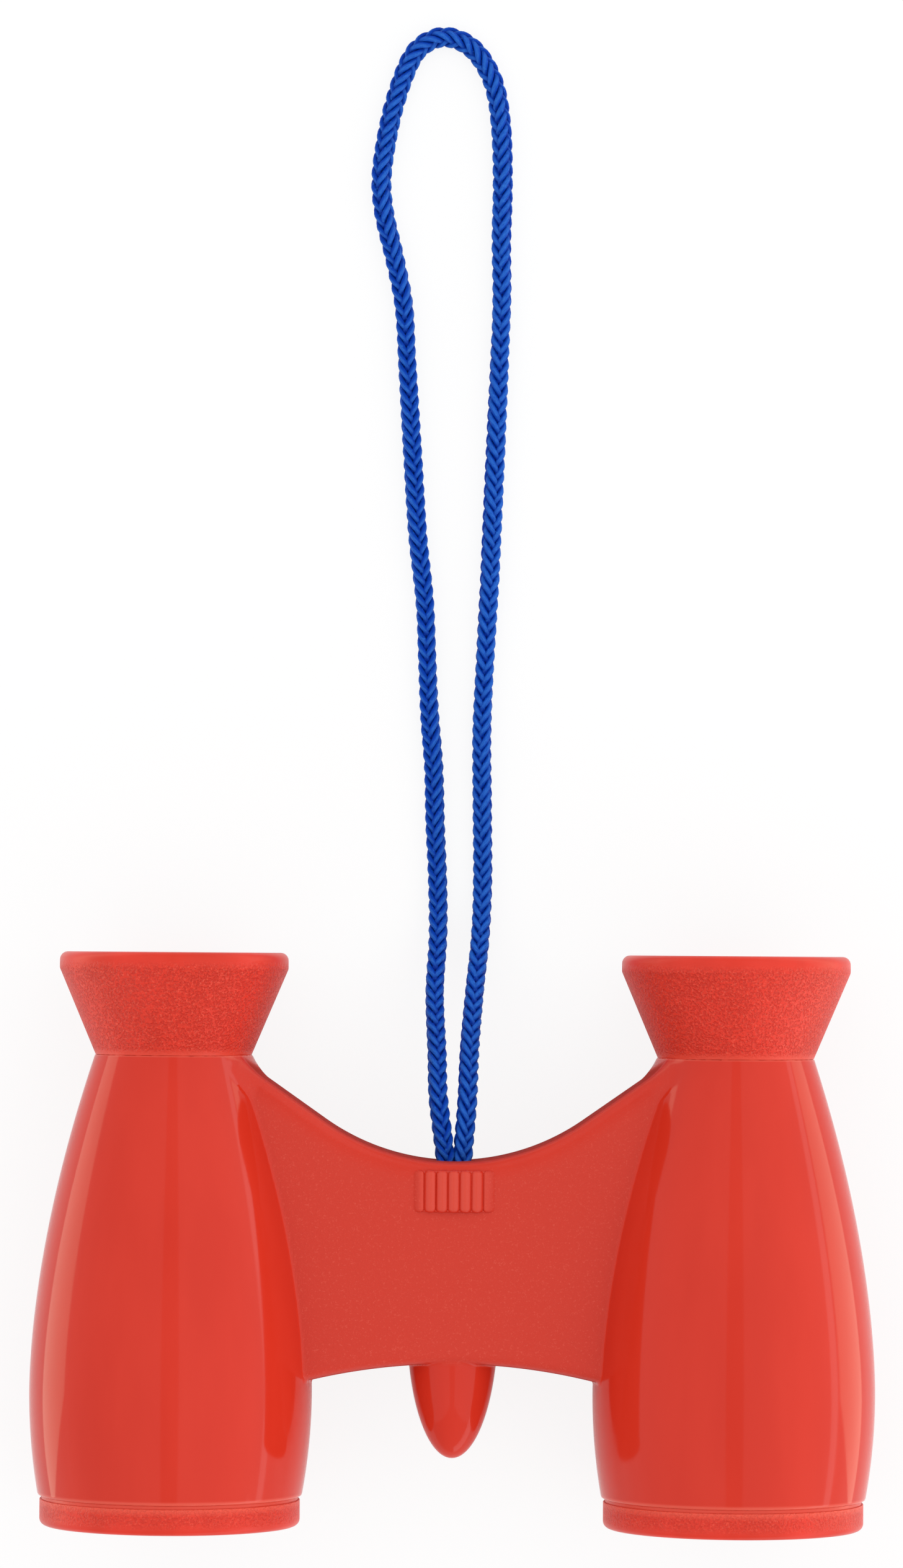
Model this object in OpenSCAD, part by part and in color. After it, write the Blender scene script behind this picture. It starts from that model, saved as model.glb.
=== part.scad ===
// Toy binoculars on a neck cord, lying on a table with the cord laid out behind them.
//
// The pieces are drawn in the binoculars' own frame: X to the right, Y along the barrels
// towards the eyecups, Z up, with the barrel axes in Z = 0 and the front faces of the
// objective rings in Y = 0. laid() then rests the toy on a floor at Z = 0, on the swell of
// its barrels and on the rims of its eyecups.
//
// The two body halves close round the spigots of the eyecups and the rings. Each spigot
// traps a lens against a rib inside the barrel, and two screws through the bridge hold
// the halves together.

/* [Barrels] */
// Distance between the two barrel axes
eye_spacing = 60; // [56:0.5:66]
// Length of a barrel from its front face to its eyecup
barrel_len = 46.9; // [43:0.1:54]
// Wall around the lens seat at the front of a barrel
front_wall = 1.45; // [1.2:0.05:2]
// Height of the barrel's swell above its front edge
swell = 1; // [0.4:0.1:2]
// Distance of the swell's top from the barrel's front face
swell_back = 11.1; // [9:0.1:14]
// Shape of the taper from swell to neck, 1 for a plain cone and 2 for a full curve
taper_power = 1.75; // [1.4:0.05:2.1]
// Outer radius of the barrel's neck, at the eyecup
neck_r = 8.35; // [7.5:0.05:9.5]
// Wall of the neck around the eyecup's spigot
neck_wall = 1.9; // [1.6:0.05:2.2]
// Wall of the hollow barrels
barrel_wall = 1.3; // [1:0.05:1.8]
// Thickness of the ribs that the lenses rest on
seat_rib = 1.2; // [0.8:0.1:2]

/* [Eyecups] */
// Height of an eyecup above the neck
eyecup_len = 10.9; // [8:0.1:14]
// How much wider the eyecup's rim is than its foot, on the radius
eyecup_flare = 3.85; // [2:0.05:5]
// Rounding of the rim's outer edge
rim_round = 1.2; // [0.6:0.1:1.5]
// Height of the straight band under that rounding
rim_band = 0.3; // [0.1:0.1:1]
// Width of the rim from its outer to its inner edge
rim_w = 2; // [1.8:0.1:3]
// Length of the spigot inside the neck
eyecup_spigot_len = 5; // [4.5:0.1:7]
// Wall of that spigot around the eyepiece lens
eyecup_spigot_wall = 1; // [0.7:0.05:1.2]
// Height of the narrowest part, behind the lens
throat_len = 0.8; // [0.4:0.1:1.5]

/* [Objective rings] */
// Height of a ring in front of the groove
ring_len = 2.8; // [2:0.1:5]
// How far the ring stands back from the barrel's front edge, on the radius
ring_inset = 0.2; // [0:0.05:0.5]
// Rounding of the ring's outer front edge
ring_round = 0.7; // [0.3:0.1:1]
// Width of the groove between ring and barrel
groove_w = 0.35; // [0.2:0.05:1]
// Depth of the groove
groove_depth = 0.3; // [0.1:0.05:0.6]
// Length of the spigot inside the barrel
ring_spigot_len = 2.4; // [2:0.1:4]
// Wall of the spigot
ring_wall = 1.2; // [0.8:0.05:1.6]

/* [Lenses] */
// Diameter of an objective lens
objective_d = 25; // [22:0.5:28]
// Thickness of its flat edge
objective_edge = 1.8; // [1.2:0.1:3]
// Height of its bulging front
objective_bow = 1.2; // [0.4:0.1:2]
// Thickness of an eyepiece lens at its edge
eyepiece_edge = 2.2; // [1.6:0.1:3]
// Depth of its hollow face
eyepiece_hollow = 1; // [0.3:0.1:1.2]
// Width of the lip that each lens rests on
lens_lip = 0.8; // [0.5:0.05:1.2]

/* [Bridge] */
// Thickness of the bridge between the barrels
bridge_t = 10; // [9:0.1:13]
// Length of the bridge along its middle
bridge_len = 21.4; // [18:0.1:26]
// Distance of the middle of its rear edge from the eyecups
bridge_back = 11.15; // [9:0.05:14]
// Wall of the hollow bridge and peg
bridge_wall = 1.4; // [1:0.05:1.8]
// Radius of the rear edge in the middle
rear_edge_r = 24; // [18:0.5:30]
// Slant of the rear edge towards the necks
rear_edge_slant = 35; // [28:1:40]
// Radius of the shallow arch of the front edge
front_edge_r = 64; // [50:1:90]
// Rounding of the bridge's edges
bridge_round = 1.2; // [0.5:0.1:2]

/* [Peg] */
// Radius of the peg where it leaves the bridge
peg_r = 4.85; // [3.5:0.05:4.9]
// Length of the peg's half ellipse
peg_len = 14.2; // [10:0.1:17]
// How far the ellipse starts inside the bridge
peg_root = 3.95; // [2:0.05:6]

/* [Ribbed pad] */
// Number of ribs of the imitation focus wheel
pad_ribs = 7; // [5:2:9]
// Distance from rib to rib
rib_pitch = 1.35; // [1.1:0.05:1.6]
// Width of a rib
rib_w = 1.04; // [0.8:0.02:1.1]
// Depth of the grooves between the ribs
rib_depth = 0.35; // [0.2:0.05:0.5]
// Length of the ribs
pad_len = 4.8; // [3:0.1:7]
// Rise of the pad's crown above the bridge
pad_rise = 0.75; // [0.5:0.05:1.2]
// Distance of the pad from the bridge's rear edge
pad_back = 0.55; // [0.3:0.05:3]

/* [Screws] */
// Diameter of the screws' thread
screw_d = 2.2; // [1.8:0.1:2.6]
// Length under the head
screw_len = 6; // [5:0.1:6.2]
// Diameter of the head
screw_head_d = 3.8; // [3:0.1:4.4]
// Height of the head
screw_head_h = 1.3; // [0.8:0.1:1.5]
// How deep the head sits in the bridge's underside
screw_sink = 0.3; // [0.1:0.1:0.6]
// Wall of the boss around the head
screw_boss_wall = 1; // [0.8:0.1:1.4]
// Distance of each screw from the middle
screw_x = 9.5; // [8:0.1:11]

/* [Cord] */
// Diameter of the cord
cord_d = 2; // [1.6:0.1:2.2]
// Distance of the cord's two legs from the middle in the slot
cord_leg_x = 1.1; // [1.1:0.05:1.2]
// Diameter of the knot inside the bridge
knot_d = 5.6; // [5.4:0.1:6.2]

/* [Fits] */
// Clearance around spigots, lenses, screws and cord
fit_gap = 0.1; // [0.05:0.01:0.2]
// Height of the collars that the body halves trap
collar_h = 0.6; // [0.4:0.05:0.7]
// Width of those collars
collar_w = 0.8; // [0.5:0.05:1]
// Distance of the collars from the shoulder
collar_back = 0.7; // [0.5:0.05:1]

/* [Hidden] */
$fn = 96;

red = [0.86, 0.26, 0.21];
grained_red = [0.83, 0.27, 0.22];
clear = [0.82, 0.9, 0.95];
steel = [0.7, 0.7, 0.72];
blue = [0.08, 0.27, 0.78];

// Stations along a barrel, from the front face of the ring
front_y = ring_len + groove_w;
swell_y = front_y + swell_back;
neck_y = front_y + barrel_len;
top_y = neck_y + eyecup_len;
lens_y = front_y + ring_spigot_len;
ledge_y = lens_y + objective_edge;
spigot_y = neck_y - eyecup_spigot_len;
stop_y = spigot_y - seat_rib;

// Radii of a barrel and of what fits in it
objective_r = objective_d / 2;
seat_r = objective_r + fit_gap;
ledge_r = objective_r - lens_lip;
front_r = seat_r + front_wall;
swell_r = front_r + swell;
neck_bore_r = neck_r - neck_wall;
eyecup_spigot_r = neck_bore_r - fit_gap;
eyepiece_r = eyecup_spigot_r - eyecup_spigot_wall - fit_gap;
throat_r = eyepiece_r - lens_lip;
rim_r = neck_r + eyecup_flare;
rim_in_r = rim_r - rim_w;
ring_r = front_r - ring_inset;
ring_bore_r = objective_r - ring_wall;
lip_round = 0.4;
past = 1;

// Stations of the bridge, the peg and the screws
half_t = bridge_t / 2;
rear_y = neck_y - bridge_back;
fore_y = rear_y - bridge_len;
neck_lip = 0.6;
pad_y = rear_y - pad_back - pad_len / 2;
screw_y = rear_y - bridge_len / 2;
screw_hole_r = screw_d / 2 + fit_gap;
head_hole_r = screw_head_d / 2 + fit_gap;
head_seat_z = screw_sink + screw_head_h - half_t;
boss_r = head_hole_r + screw_boss_wall;
cord_r = cord_d / 2;
knot_y = rear_y - bridge_wall - fit_gap;
mouth = 1;

function steps(a, b, n) = [for (i = [0:n]) a + (b - a) * i / n];

// A quarter round of radius r about [x, y], from angle a to angle b
function round_off(x, y, r, a, b) =
    [for (t = steps(a, b, 5)) [x + r * cos(t), y + r * sin(t)]];

// Outer radius of a barrel at station y
function barrel_r(y) =
    y < swell_y
        ? swell_r - swell * pow((swell_y - y) / swell_back, 2)
        : swell_r - (swell_r - neck_r) * pow((y - swell_y) / (neck_y - swell_y), taper_power);

// Outlines as [radius, station]
barrel_line = concat(
    [for (y = steps(front_y, swell_y, 5)) [barrel_r(y), y]],
    [for (i = [1:13]) let (y = swell_y + (neck_y - swell_y) * i / 13) [barrel_r(y), y]]
);
rim_line = concat(
    [[rim_r, top_y - rim_round - rim_band]],
    round_off(rim_r - rim_round, top_y - rim_round, rim_round, 0, 90)
);
ring_line = concat(
    round_off(ring_r - ring_round, ring_round, ring_round, -90, 0),
    [[ring_r, ring_len]]
);

// How the toy rests: the floor touches the swell of the barrels and the eyecups' rims
rest_slope = max([for (p = barrel_line)
    min([for (q = rim_line) (p[0] - q[0]) / (q[1] - p[1])])]);
rest_tilt = atan(rest_slope);
lift = max([for (p = concat(barrel_line, rim_line)) p[1] * sin(rest_tilt) + p[0] * cos(rest_tilt)]);
rear_end = max([for (p = rim_line) p[1] * cos(rest_tilt) + p[0] * sin(rest_tilt)]);
fore_end = min([for (p = ring_line) p[1] * cos(rest_tilt) - p[0] * sin(rest_tilt)]);
middle_y = (rear_end + fore_end) / 2;

// A point of the binoculars' own frame, in the frame of the floor
function on_floor(p) = [
    p[0],
    p[1] * cos(rest_tilt) + p[2] * sin(rest_tilt) - middle_y,
    p[2] * cos(rest_tilt) - p[1] * sin(rest_tilt) + lift
];

module laid() {
    translate([0, -middle_y, lift])
        rotate([-rest_tilt, 0, 0])
            children();
}

// One side of the toy: -1 for the left barrel, 1 for the right
module on_side(side) {
    laid()
        translate([side * eye_spacing / 2, 0, 0])
            children();
}

// Turns an outline of [radius, station] about the barrel's axis
module turned(outline) {
    rotate([-90, 0, 0])
        rotate_extrude()
            polygon(outline);
}

module barrel_block() {
    turned(concat([[0, front_y]], barrel_line, [[0, neck_y]]));
}

module barrel_hollow() {
    chamber = [for (y = steps(ledge_y + seat_rib, stop_y, 12)) [barrel_r(y) - barrel_wall, y]];
    ring_groove_y = front_y + collar_back - fit_gap;
    eyecup_groove_y = neck_y - collar_back + fit_gap;
    groove_len = collar_w + 2 * fit_gap;
    turned(concat(
        [
            [0, front_y - past],
            [seat_r, front_y - past],
            [seat_r, ring_groove_y],
            [seat_r + collar_h, ring_groove_y],
            [seat_r + collar_h, ring_groove_y + groove_len],
            [seat_r, ring_groove_y + groove_len],
            [seat_r, ledge_y],
            [ledge_r, ledge_y],
            [ledge_r, ledge_y + seat_rib]
        ],
        chamber,
        [
            [throat_r, stop_y],
            [throat_r, spigot_y],
            [neck_bore_r, spigot_y],
            [neck_bore_r, eyecup_groove_y - groove_len],
            [neck_bore_r + collar_h, eyecup_groove_y - groove_len],
            [neck_bore_r + collar_h, eyecup_groove_y],
            [neck_bore_r, eyecup_groove_y],
            [neck_bore_r, neck_y + past],
            [0, neck_y + past]
        ]
    ));
}

// The bridge seen from above, drawn in by inset, as a plate of the given height
module bridge_plate(inset, height) {
    half_x = eye_spacing / 2 - neck_bore_r;
    arc_r = rear_edge_r + inset;
    arch_r = front_edge_r + inset;
    arc_y = rear_y + rear_edge_r;
    arch_y = fore_y - front_edge_r;
    bend_x = arc_r * sin(rear_edge_slant);
    bend_y = arc_y - arc_r * cos(rear_edge_slant);
    neck_end = neck_y - neck_lip - inset;
    slant_x = min(half_x, bend_x + (neck_end - bend_y) / tan(rear_edge_slant));
    flank_y = arch_y + sqrt(pow(arch_r, 2) - pow(half_x, 2));
    difference() {
        linear_extrude(height, center = true)
            polygon([
                [-half_x, flank_y],
                [half_x, flank_y],
                [half_x, neck_end],
                [slant_x, neck_end],
                [bend_x, bend_y],
                [-bend_x, bend_y],
                [-slant_x, neck_end],
                [-half_x, neck_end]
            ]);
        translate([0, arc_y, 0])
            cylinder(r = arc_r, h = height + past, center = true);
        translate([0, arch_y, 0])
            cylinder(r = arch_r, h = height + past, center = true);
    }
}

// What a rounding takes off an edge at the origin, with the body at +X and -Y
module edge_waste() {
    difference() {
        translate([-past, -bridge_round])
            square([past + bridge_round, bridge_round + past]);
        translate([bridge_round, -bridge_round])
            circle(bridge_round);
    }
}

// The roundings along the bridge's upper edges
module bridge_edge_waste() {
    bend_x = rear_edge_r * sin(rear_edge_slant);
    bend_y = rear_y + rear_edge_r * (1 - cos(rear_edge_slant));
    slant_len = (neck_y - bend_y) / sin(rear_edge_slant);
    translate([0, rear_y + rear_edge_r, half_t])
        rotate_extrude()
            translate([rear_edge_r, 0])
                edge_waste();
    translate([0, fore_y - front_edge_r, half_t])
        rotate_extrude()
            translate([front_edge_r, 0])
                edge_waste();
    for (side = [0, 1])
        mirror([side, 0, 0])
            translate([
                bend_x + slant_len * cos(rear_edge_slant),
                bend_y + slant_len * sin(rear_edge_slant),
                half_t
            ])
                rotate([0, 0, rear_edge_slant - 90])
                    rotate([90, 0, 0])
                        linear_extrude(slant_len)
                            edge_waste();
}

// Half an ellipse turned about the peg's axis, drawn in by inset
module peg_block(inset) {
    root_y = fore_y + peg_root;
    turned(concat(
        [[0, root_y]],
        [for (t = steps(0, 90, 12)) [
            (peg_r - inset) * cos(t),
            root_y - (peg_len - inset) * sin(t)
        ]]
    ));
}

// A rib of the pad, with round ends
module pad_rib() {
    straight = pad_len - rib_w;
    rotate([90, 0, 0])
        cylinder(d = rib_w, h = straight, center = true);
    for (end = [-1, 1])
        translate([0, end * straight / 2, 0])
            sphere(d = rib_w);
}

// Ribs over a low crown, as on the rim of a focus wheel
module ribbed_pad() {
    half_w = pad_ribs * rib_pitch / 2;
    crown_r = (pow(half_w, 2) + pow(pad_rise, 2)) / (2 * pad_rise);
    rib_path_r = crown_r - rib_w / 2;
    sunk = bridge_wall / 2;
    translate([0, pad_y, half_t + pad_rise - crown_r]) {
        intersection() {
            rotate([90, 0, 0])
                cylinder(r = crown_r - rib_depth, h = pad_len - rib_w, center = true);
            translate([-half_w, -pad_len / 2, crown_r - pad_rise - sunk])
                cube([2 * half_w, pad_len, sunk + pad_rise]);
        }
        for (i = [0:pad_ribs - 1]) {
            x = (i - (pad_ribs - 1) / 2) * rib_pitch;
            translate([x, 0, sqrt(pow(rib_path_r, 2) - pow(x, 2))])
                pad_rib();
        }
    }
}

module at_screws() {
    for (side = [-1, 1])
        translate([side * screw_x, screw_y, 0])
            children();
}

// The slot in the bridge's rear wall that both legs of the cord go through
module cord_slot() {
    slot_r = cord_r + fit_gap;
    slot_len = 2 * bridge_wall + 2 * past;
    translate([0, rear_y - bridge_wall / 2, 0])
        rotate([90, 0, 0]) {
            for (side = [-1, 1])
                translate([side * cord_leg_x, 0, 0])
                    cylinder(r = slot_r, h = slot_len, center = true);
            cube([2 * cord_leg_x, 2 * slot_r, slot_len], center = true);
        }
}

// Both halves of the body in one: hollow barrels, hollow bridge and peg
module whole_body() {
    difference() {
        union() {
            difference() {
                union() {
                    difference() {
                        bridge_plate(0, bridge_t);
                        bridge_edge_waste();
                        mirror([0, 0, 1])
                            bridge_edge_waste();
                    }
                    peg_block(0);
                }
                bridge_plate(bridge_wall, bridge_t - 2 * bridge_wall);
                peg_block(bridge_wall);
            }
            for (side = [-1, 1])
                translate([side * eye_spacing / 2, 0, 0])
                    barrel_block();
        }
        for (side = [-1, 1])
            translate([side * eye_spacing / 2, 0, 0])
                barrel_hollow();
        cord_slot();
    }
}

// Everything above the parting plane for side 1, everything below it for side -1
module half_space(side) {
    reach = 2 * (eye_spacing + top_y);
    translate([0, 0, side * reach / 2])
        cube(reach, center = true);
}

module upper_body_shell() {
    pilot_z = head_seat_z + screw_len + fit_gap;
    color(red)
        laid()
            difference() {
                union() {
                    intersection() {
                        whole_body();
                        half_space(1);
                    }
                    ribbed_pad();
                    at_screws()
                        cylinder(r = boss_r, h = half_t - bridge_wall / 2);
                }
                at_screws()
                    translate([0, 0, -past])
                        cylinder(r = screw_hole_r, h = past + pilot_z);
            }
}

module lower_body_shell() {
    color(red)
        laid()
            difference() {
                union() {
                    intersection() {
                        whole_body();
                        half_space(-1);
                    }
                    at_screws()
                        translate([0, 0, -half_t + bridge_wall / 2])
                            cylinder(r = boss_r, h = half_t - bridge_wall / 2);
                }
                at_screws()
                    translate([0, 0, -half_t - past]) {
                        cylinder(r = screw_hole_r, h = bridge_t);
                        cylinder(r = head_hole_r, h = past + screw_sink + screw_head_h);
                    }
            }
}

module eyecup(side) {
    collar_y = neck_y - collar_back;
    collar_r = eyecup_spigot_r + collar_h;
    seat = eyepiece_r + fit_gap;
    color(grained_red)
        on_side(side)
            turned(concat(
                [
                    [seat, spigot_y],
                    [seat, spigot_y + eyepiece_edge],
                    [throat_r, spigot_y + eyepiece_edge],
                    [throat_r, spigot_y + eyepiece_edge + throat_len]
                ],
                round_off(rim_in_r + lip_round, top_y - lip_round, lip_round, 180, 90),
                [for (i = [len(rim_line) - 1:-1:0]) rim_line[i]],
                [
                    [neck_r, neck_y],
                    [eyecup_spigot_r, neck_y],
                    [eyecup_spigot_r, collar_y],
                    [collar_r, collar_y],
                    [collar_r, collar_y - collar_w],
                    [eyecup_spigot_r, collar_y - collar_w],
                    [eyecup_spigot_r, spigot_y]
                ]
            ));
}

module objective_ring(side) {
    collar_y = front_y + collar_back;
    collar_r = objective_r + collar_h;
    color(grained_red)
        on_side(side)
            turned(concat(
                [[ring_bore_r, lens_y]],
                round_off(ring_bore_r + lip_round, lip_round, lip_round, 180, 270),
                ring_line,
                [
                    [ring_r - groove_depth, ring_len],
                    [ring_r - groove_depth, front_y],
                    [objective_r, front_y],
                    [objective_r, collar_y],
                    [collar_r, collar_y],
                    [collar_r, collar_y + collar_w],
                    [objective_r, collar_y + collar_w],
                    [objective_r, lens_y]
                ]
            ));
}

// Flat edge against the rib of the barrel, bulging front inside the ring
module objective_lens(side) {
    bow_r = ring_bore_r - fit_gap;
    ball_r = (pow(bow_r, 2) + pow(objective_bow, 2)) / (2 * objective_bow);
    color(clear)
        on_side(side)
            translate([0, lens_y, 0])
                rotate([-90, 0, 0]) {
                    cylinder(r = objective_r, h = objective_edge);
                    intersection() {
                        translate([0, 0, ball_r - objective_bow])
                            sphere(r = ball_r);
                        translate([0, 0, -objective_bow])
                            cylinder(r = bow_r, h = objective_bow + objective_edge / 2);
                    }
                }
}

// Flat back against the stop in the barrel, hollow face towards the eye
module eyepiece_lens(side) {
    ball_r = (pow(throat_r, 2) + pow(eyepiece_hollow, 2)) / (2 * eyepiece_hollow);
    color(clear)
        on_side(side)
            translate([0, spigot_y, 0])
                rotate([-90, 0, 0])
                    difference() {
                        cylinder(r = eyepiece_r, h = eyepiece_edge);
                        translate([0, 0, eyepiece_edge - eyepiece_hollow + ball_r])
                            sphere(r = ball_r);
                    }
}

// Two pan-head screws with a cross recess
module body_screws() {
    recess_w = screw_head_d / 6;
    recess_len = screw_head_d * 0.55;
    recess_h = screw_head_h * 0.6;
    color(steel)
        laid()
            at_screws()
                translate([0, 0, head_seat_z])
                    difference() {
                        union() {
                            cylinder(d = screw_d, h = screw_len);
                            translate([0, 0, -screw_head_h])
                                cylinder(d = screw_head_d, h = screw_head_h);
                        }
                        for (turn = [0, 90])
                            rotate([0, 0, turn])
                                translate([-recess_len / 2, -recess_w / 2, -screw_head_h - past])
                                    cube([recess_len, recess_w, past + recess_h]);
                    }
}

// The two ends of the cord, tied together into a ball with a flat side behind the slot
module cord_knot() {
    ball_r = knot_d / 2;
    flat_back = 0.6;
    color(blue)
        laid()
            turned(concat(
                [for (t = steps(-90, asin(flat_back), 12)) [
                    ball_r * cos(t),
                    knot_y + ball_r * (sin(t) - flat_back)
                ]],
                [[0, knot_y]]
            ));
}

// The cord's free run on the floor, from the left leg round the loop to the right leg
cord_route = [
    [-1.7, 15, 12.4], [-1.9, 20, 9.6], [-2.2, 26, 5.6], [-1.9, 32, 2.4], [-2, 38, 1.1],
    [-2.3, 44, 1], [-2.5, 50, 1], [-3, 56, 1], [-3.3, 62, 1], [-3.6, 68, 1], [-4.4, 75, 1],
    [-4.9, 82, 1], [-5.3, 88, 1], [-5.7, 94, 1], [-6.1, 100, 1], [-7.1, 105, 1], [-8.3, 110, 1],
    [-8.6, 114, 1], [-7.9, 119, 1], [-6.9, 123, 1], [-5.5, 126.6, 1], [-4, 128.3, 1], [-1.9, 129, 1],
    [0.4, 128.3, 1], [2.2, 126.5, 1], [3.6, 123.5, 1], [4.3, 119, 1], [4.5, 113, 1], [4.4, 107, 1],
    [4.5, 101, 1], [4.3, 94, 1], [4, 86, 1], [3.7, 78, 1], [3.4, 70, 1], [3, 62, 1], [2.7, 54, 1],
    [2.8, 46, 1], [2.9, 38, 1.1], [2.7, 32, 2.4], [2.1, 26, 5.6], [1.6, 20, 9.6], [1.4, 15, 12.4]
];

// The whole run of the cord, with its two ends straight through the slot to the knot
function cord_leg(side, y) = on_floor([side * cord_leg_x, y, 0]);
cord_run = concat(
    [cord_leg(-1, knot_y), cord_leg(-1, rear_y + mouth)],
    cord_route,
    [cord_leg(1, rear_y + mouth), cord_leg(1, knot_y)]
);

function unit(v) = v / norm(v);
function run_slope(i) =
    i == 0 ? cord_run[1] - cord_run[0]
    : i == len(cord_run) - 1 ? cord_run[i] - cord_run[i - 1]
    : (cord_run[i + 1] - cord_run[i - 1]) / 2;

// Direction of the cord at each point, and the ring of corners around it
function cord_ring(i, sides) =
    let (
        along = unit(run_slope(i)),
        across = unit(cross(along, [0, 0, 1])),
        over = cross(across, along)
    )
    [for (k = [0:sides - 1])
        let (t = (k + 0.5) * 360 / sides)
        cord_run[i] + cord_r * (cos(t) * across + sin(t) * over)];

module neck_cord() {
    sides = 8;
    rings = len(cord_run);
    last = (rings - 1) * sides;
    corners = [for (i = [0:rings - 1]) each cord_ring(i, sides)];
    walls = [for (i = [0:rings - 2], k = [0:sides - 1])
        let (a = i * sides + k, b = i * sides + (k + 1) % sides)
        each [[a, b, b + sides], [a, b + sides, a + sides]]];
    caps = [for (k = [1:sides - 2]) each [[0, k + 1, k], [last, last + k, last + k + 1]]];
    color(blue)
        polyhedron(corners, concat(walls, caps));
}

upper_body_shell();
lower_body_shell();
eyecup(-1);  // left_eyecup
eyecup(1);  // right_eyecup
eyepiece_lens(-1);  // left_eyepiece_lens
eyepiece_lens(1);  // right_eyepiece_lens
objective_ring(-1);  // left_objective_ring
objective_ring(1);  // right_objective_ring
objective_lens(-1);  // left_objective_lens
objective_lens(1);  // right_objective_lens
body_screws();
cord_knot();
neck_cord();
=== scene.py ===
"""Toy binoculars on a braided neck cord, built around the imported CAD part."""

import math
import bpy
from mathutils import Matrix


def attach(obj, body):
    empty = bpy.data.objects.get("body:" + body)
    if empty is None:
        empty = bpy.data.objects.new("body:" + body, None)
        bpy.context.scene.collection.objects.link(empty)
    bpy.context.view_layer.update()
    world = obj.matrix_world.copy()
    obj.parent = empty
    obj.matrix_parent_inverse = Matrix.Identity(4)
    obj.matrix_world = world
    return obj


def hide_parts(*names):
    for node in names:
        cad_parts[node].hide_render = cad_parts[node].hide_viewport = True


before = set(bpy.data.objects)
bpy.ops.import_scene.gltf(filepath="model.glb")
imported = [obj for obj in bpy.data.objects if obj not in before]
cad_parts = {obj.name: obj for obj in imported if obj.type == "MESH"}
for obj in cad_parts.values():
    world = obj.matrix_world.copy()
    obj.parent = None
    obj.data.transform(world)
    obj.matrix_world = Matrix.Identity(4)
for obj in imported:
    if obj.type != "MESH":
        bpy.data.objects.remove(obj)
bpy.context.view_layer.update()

from types import SimpleNamespace

import bpy
import numpy as np
from bpy.props import FloatProperty, FloatVectorProperty, IntProperty, PointerProperty
from mathutils import Vector
from mathutils.geometry import delaunay_2d_cdt

MM = 1000  # millimetres to the metre
WHITE = (1.0, 1.0, 1.0, 1.0)

bl_info = {
    "name": "Toy binoculars",
    "version": (1, 0, 0),
    "blender": (4, 5, 0),
    "location": "3D View > Sidebar > Binoculars",
    "description": "Builds toy binoculars with a braided neck cord around their CAD frame",
    "category": "Add Mesh",
}


# Properties


def length(name, description, millimetres):
    return FloatProperty(
        name=name, description=description, default=millimetres / MM, unit="LENGTH", precision=6
    )


def angle(name, description, degrees):
    return FloatProperty(
        name=name, description=description, default=math.radians(degrees), unit="ROTATION"
    )


def colour(name, description, red, green, blue):
    """A colour property, from sRGB values of 0 to 255."""

    def linear(value):
        value /= 255
        return value / 12.92 if value <= 0.04045 else ((value + 0.055) / 1.055) ** 2.4

    return FloatVectorProperty(
        name=name,
        description=description,
        default=(linear(red), linear(green), linear(blue)),
        min=0,
        max=1,
        subtype="COLOR",
    )


class BodySizes(bpy.types.PropertyGroup):
    """Sizes of the barrels, the bridge and the peg."""

    eye_spacing: length("Eye spacing", "Distance between the barrel axes", 60)
    front_y: length("Barrel front", "Station of the barrel's front face", 3.15)
    swell_y: length("Swell station", "Station of the barrel's widest ring", 14.25)
    neck_y: length("Neck station", "Station of the barrel's end at the eyecup", 50.05)
    swell_r: length("Swell radius", "Largest radius of a barrel", 15.05)
    swell: length("Swell", "How far the swell stands above the front edge", 1)
    neck_r: length("Neck radius", "Radius of the barrel at the eyecup", 8.35)
    barrel_wall: length("Barrel wall", "Wall of a hollow barrel", 1.3)
    seat_r: length("Seat radius", "Bore that holds the objective lens", 12.6)
    ledge_r: length("Ledge radius", "Bore of the rib behind the objective lens", 11.7)
    ledge_y: length("Ledge station", "Station of that rib's front", 7.35)
    stop_y: length("Stop station", "Station of the rib in front of the eyepiece lens", 43.85)
    spigot_y: length("Spigot station", "Station of the end of the eyecup's spigot", 45.05)
    throat_r: length("Throat radius", "Bore at the eyepiece lens", 4.45)
    neck_bore_r: length("Neck bore", "Bore that holds the eyecup's spigot", 6.45)
    rib_len: length("Seat rib", "Thickness of the ribs inside a barrel", 1.2)
    rear_y: length("Rear edge", "Station of the middle of the bridge's rear edge", 38.9)
    fore_y: length("Front edge", "Station of the middle of the bridge's front edge", 17.5)
    rear_edge_r: length("Rear edge radius", "Radius of the rear edge in the middle", 24)
    front_edge_r: length("Front edge radius", "Radius of the front edge's arch", 64)
    rear_slant: angle("Rear slant", "Slant of the rear edge towards the necks", 35)
    half_t: length("Half thickness", "Half the bridge's thickness", 5)
    bridge_round: length("Bridge rounding", "Rounding of the bridge's edges", 1.2)
    bridge_wall: length("Bridge wall", "Wall of the hollow bridge", 1.4)
    peg_r: length("Peg radius", "Radius of the peg at its root", 4.85)
    peg_len: length("Peg length", "Length of the peg's half ellipse", 14.2)
    peg_root_y: length("Peg root", "Station where the peg's ellipse starts", 21.45)
    fillet: length("Fillet", "Fillet between the bridge, the barrels and the peg", 0.4)
    neck_fillet: length("Neck fillet", "Fillet where the rear edge runs into a neck", 1.6)
    edge_round: length("Edge rounding", "Rounding of a barrel's end faces", 0.3)
    lip: length("Lip", "Chamfer of the halves along their parting line", 0.08)
    slot_leg_x: length("Slot leg", "Distance of a cord leg from the middle of the slot", 1.1)
    slot_r: length("Slot radius", "Half the height of the cord slot", 1.1)


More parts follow.
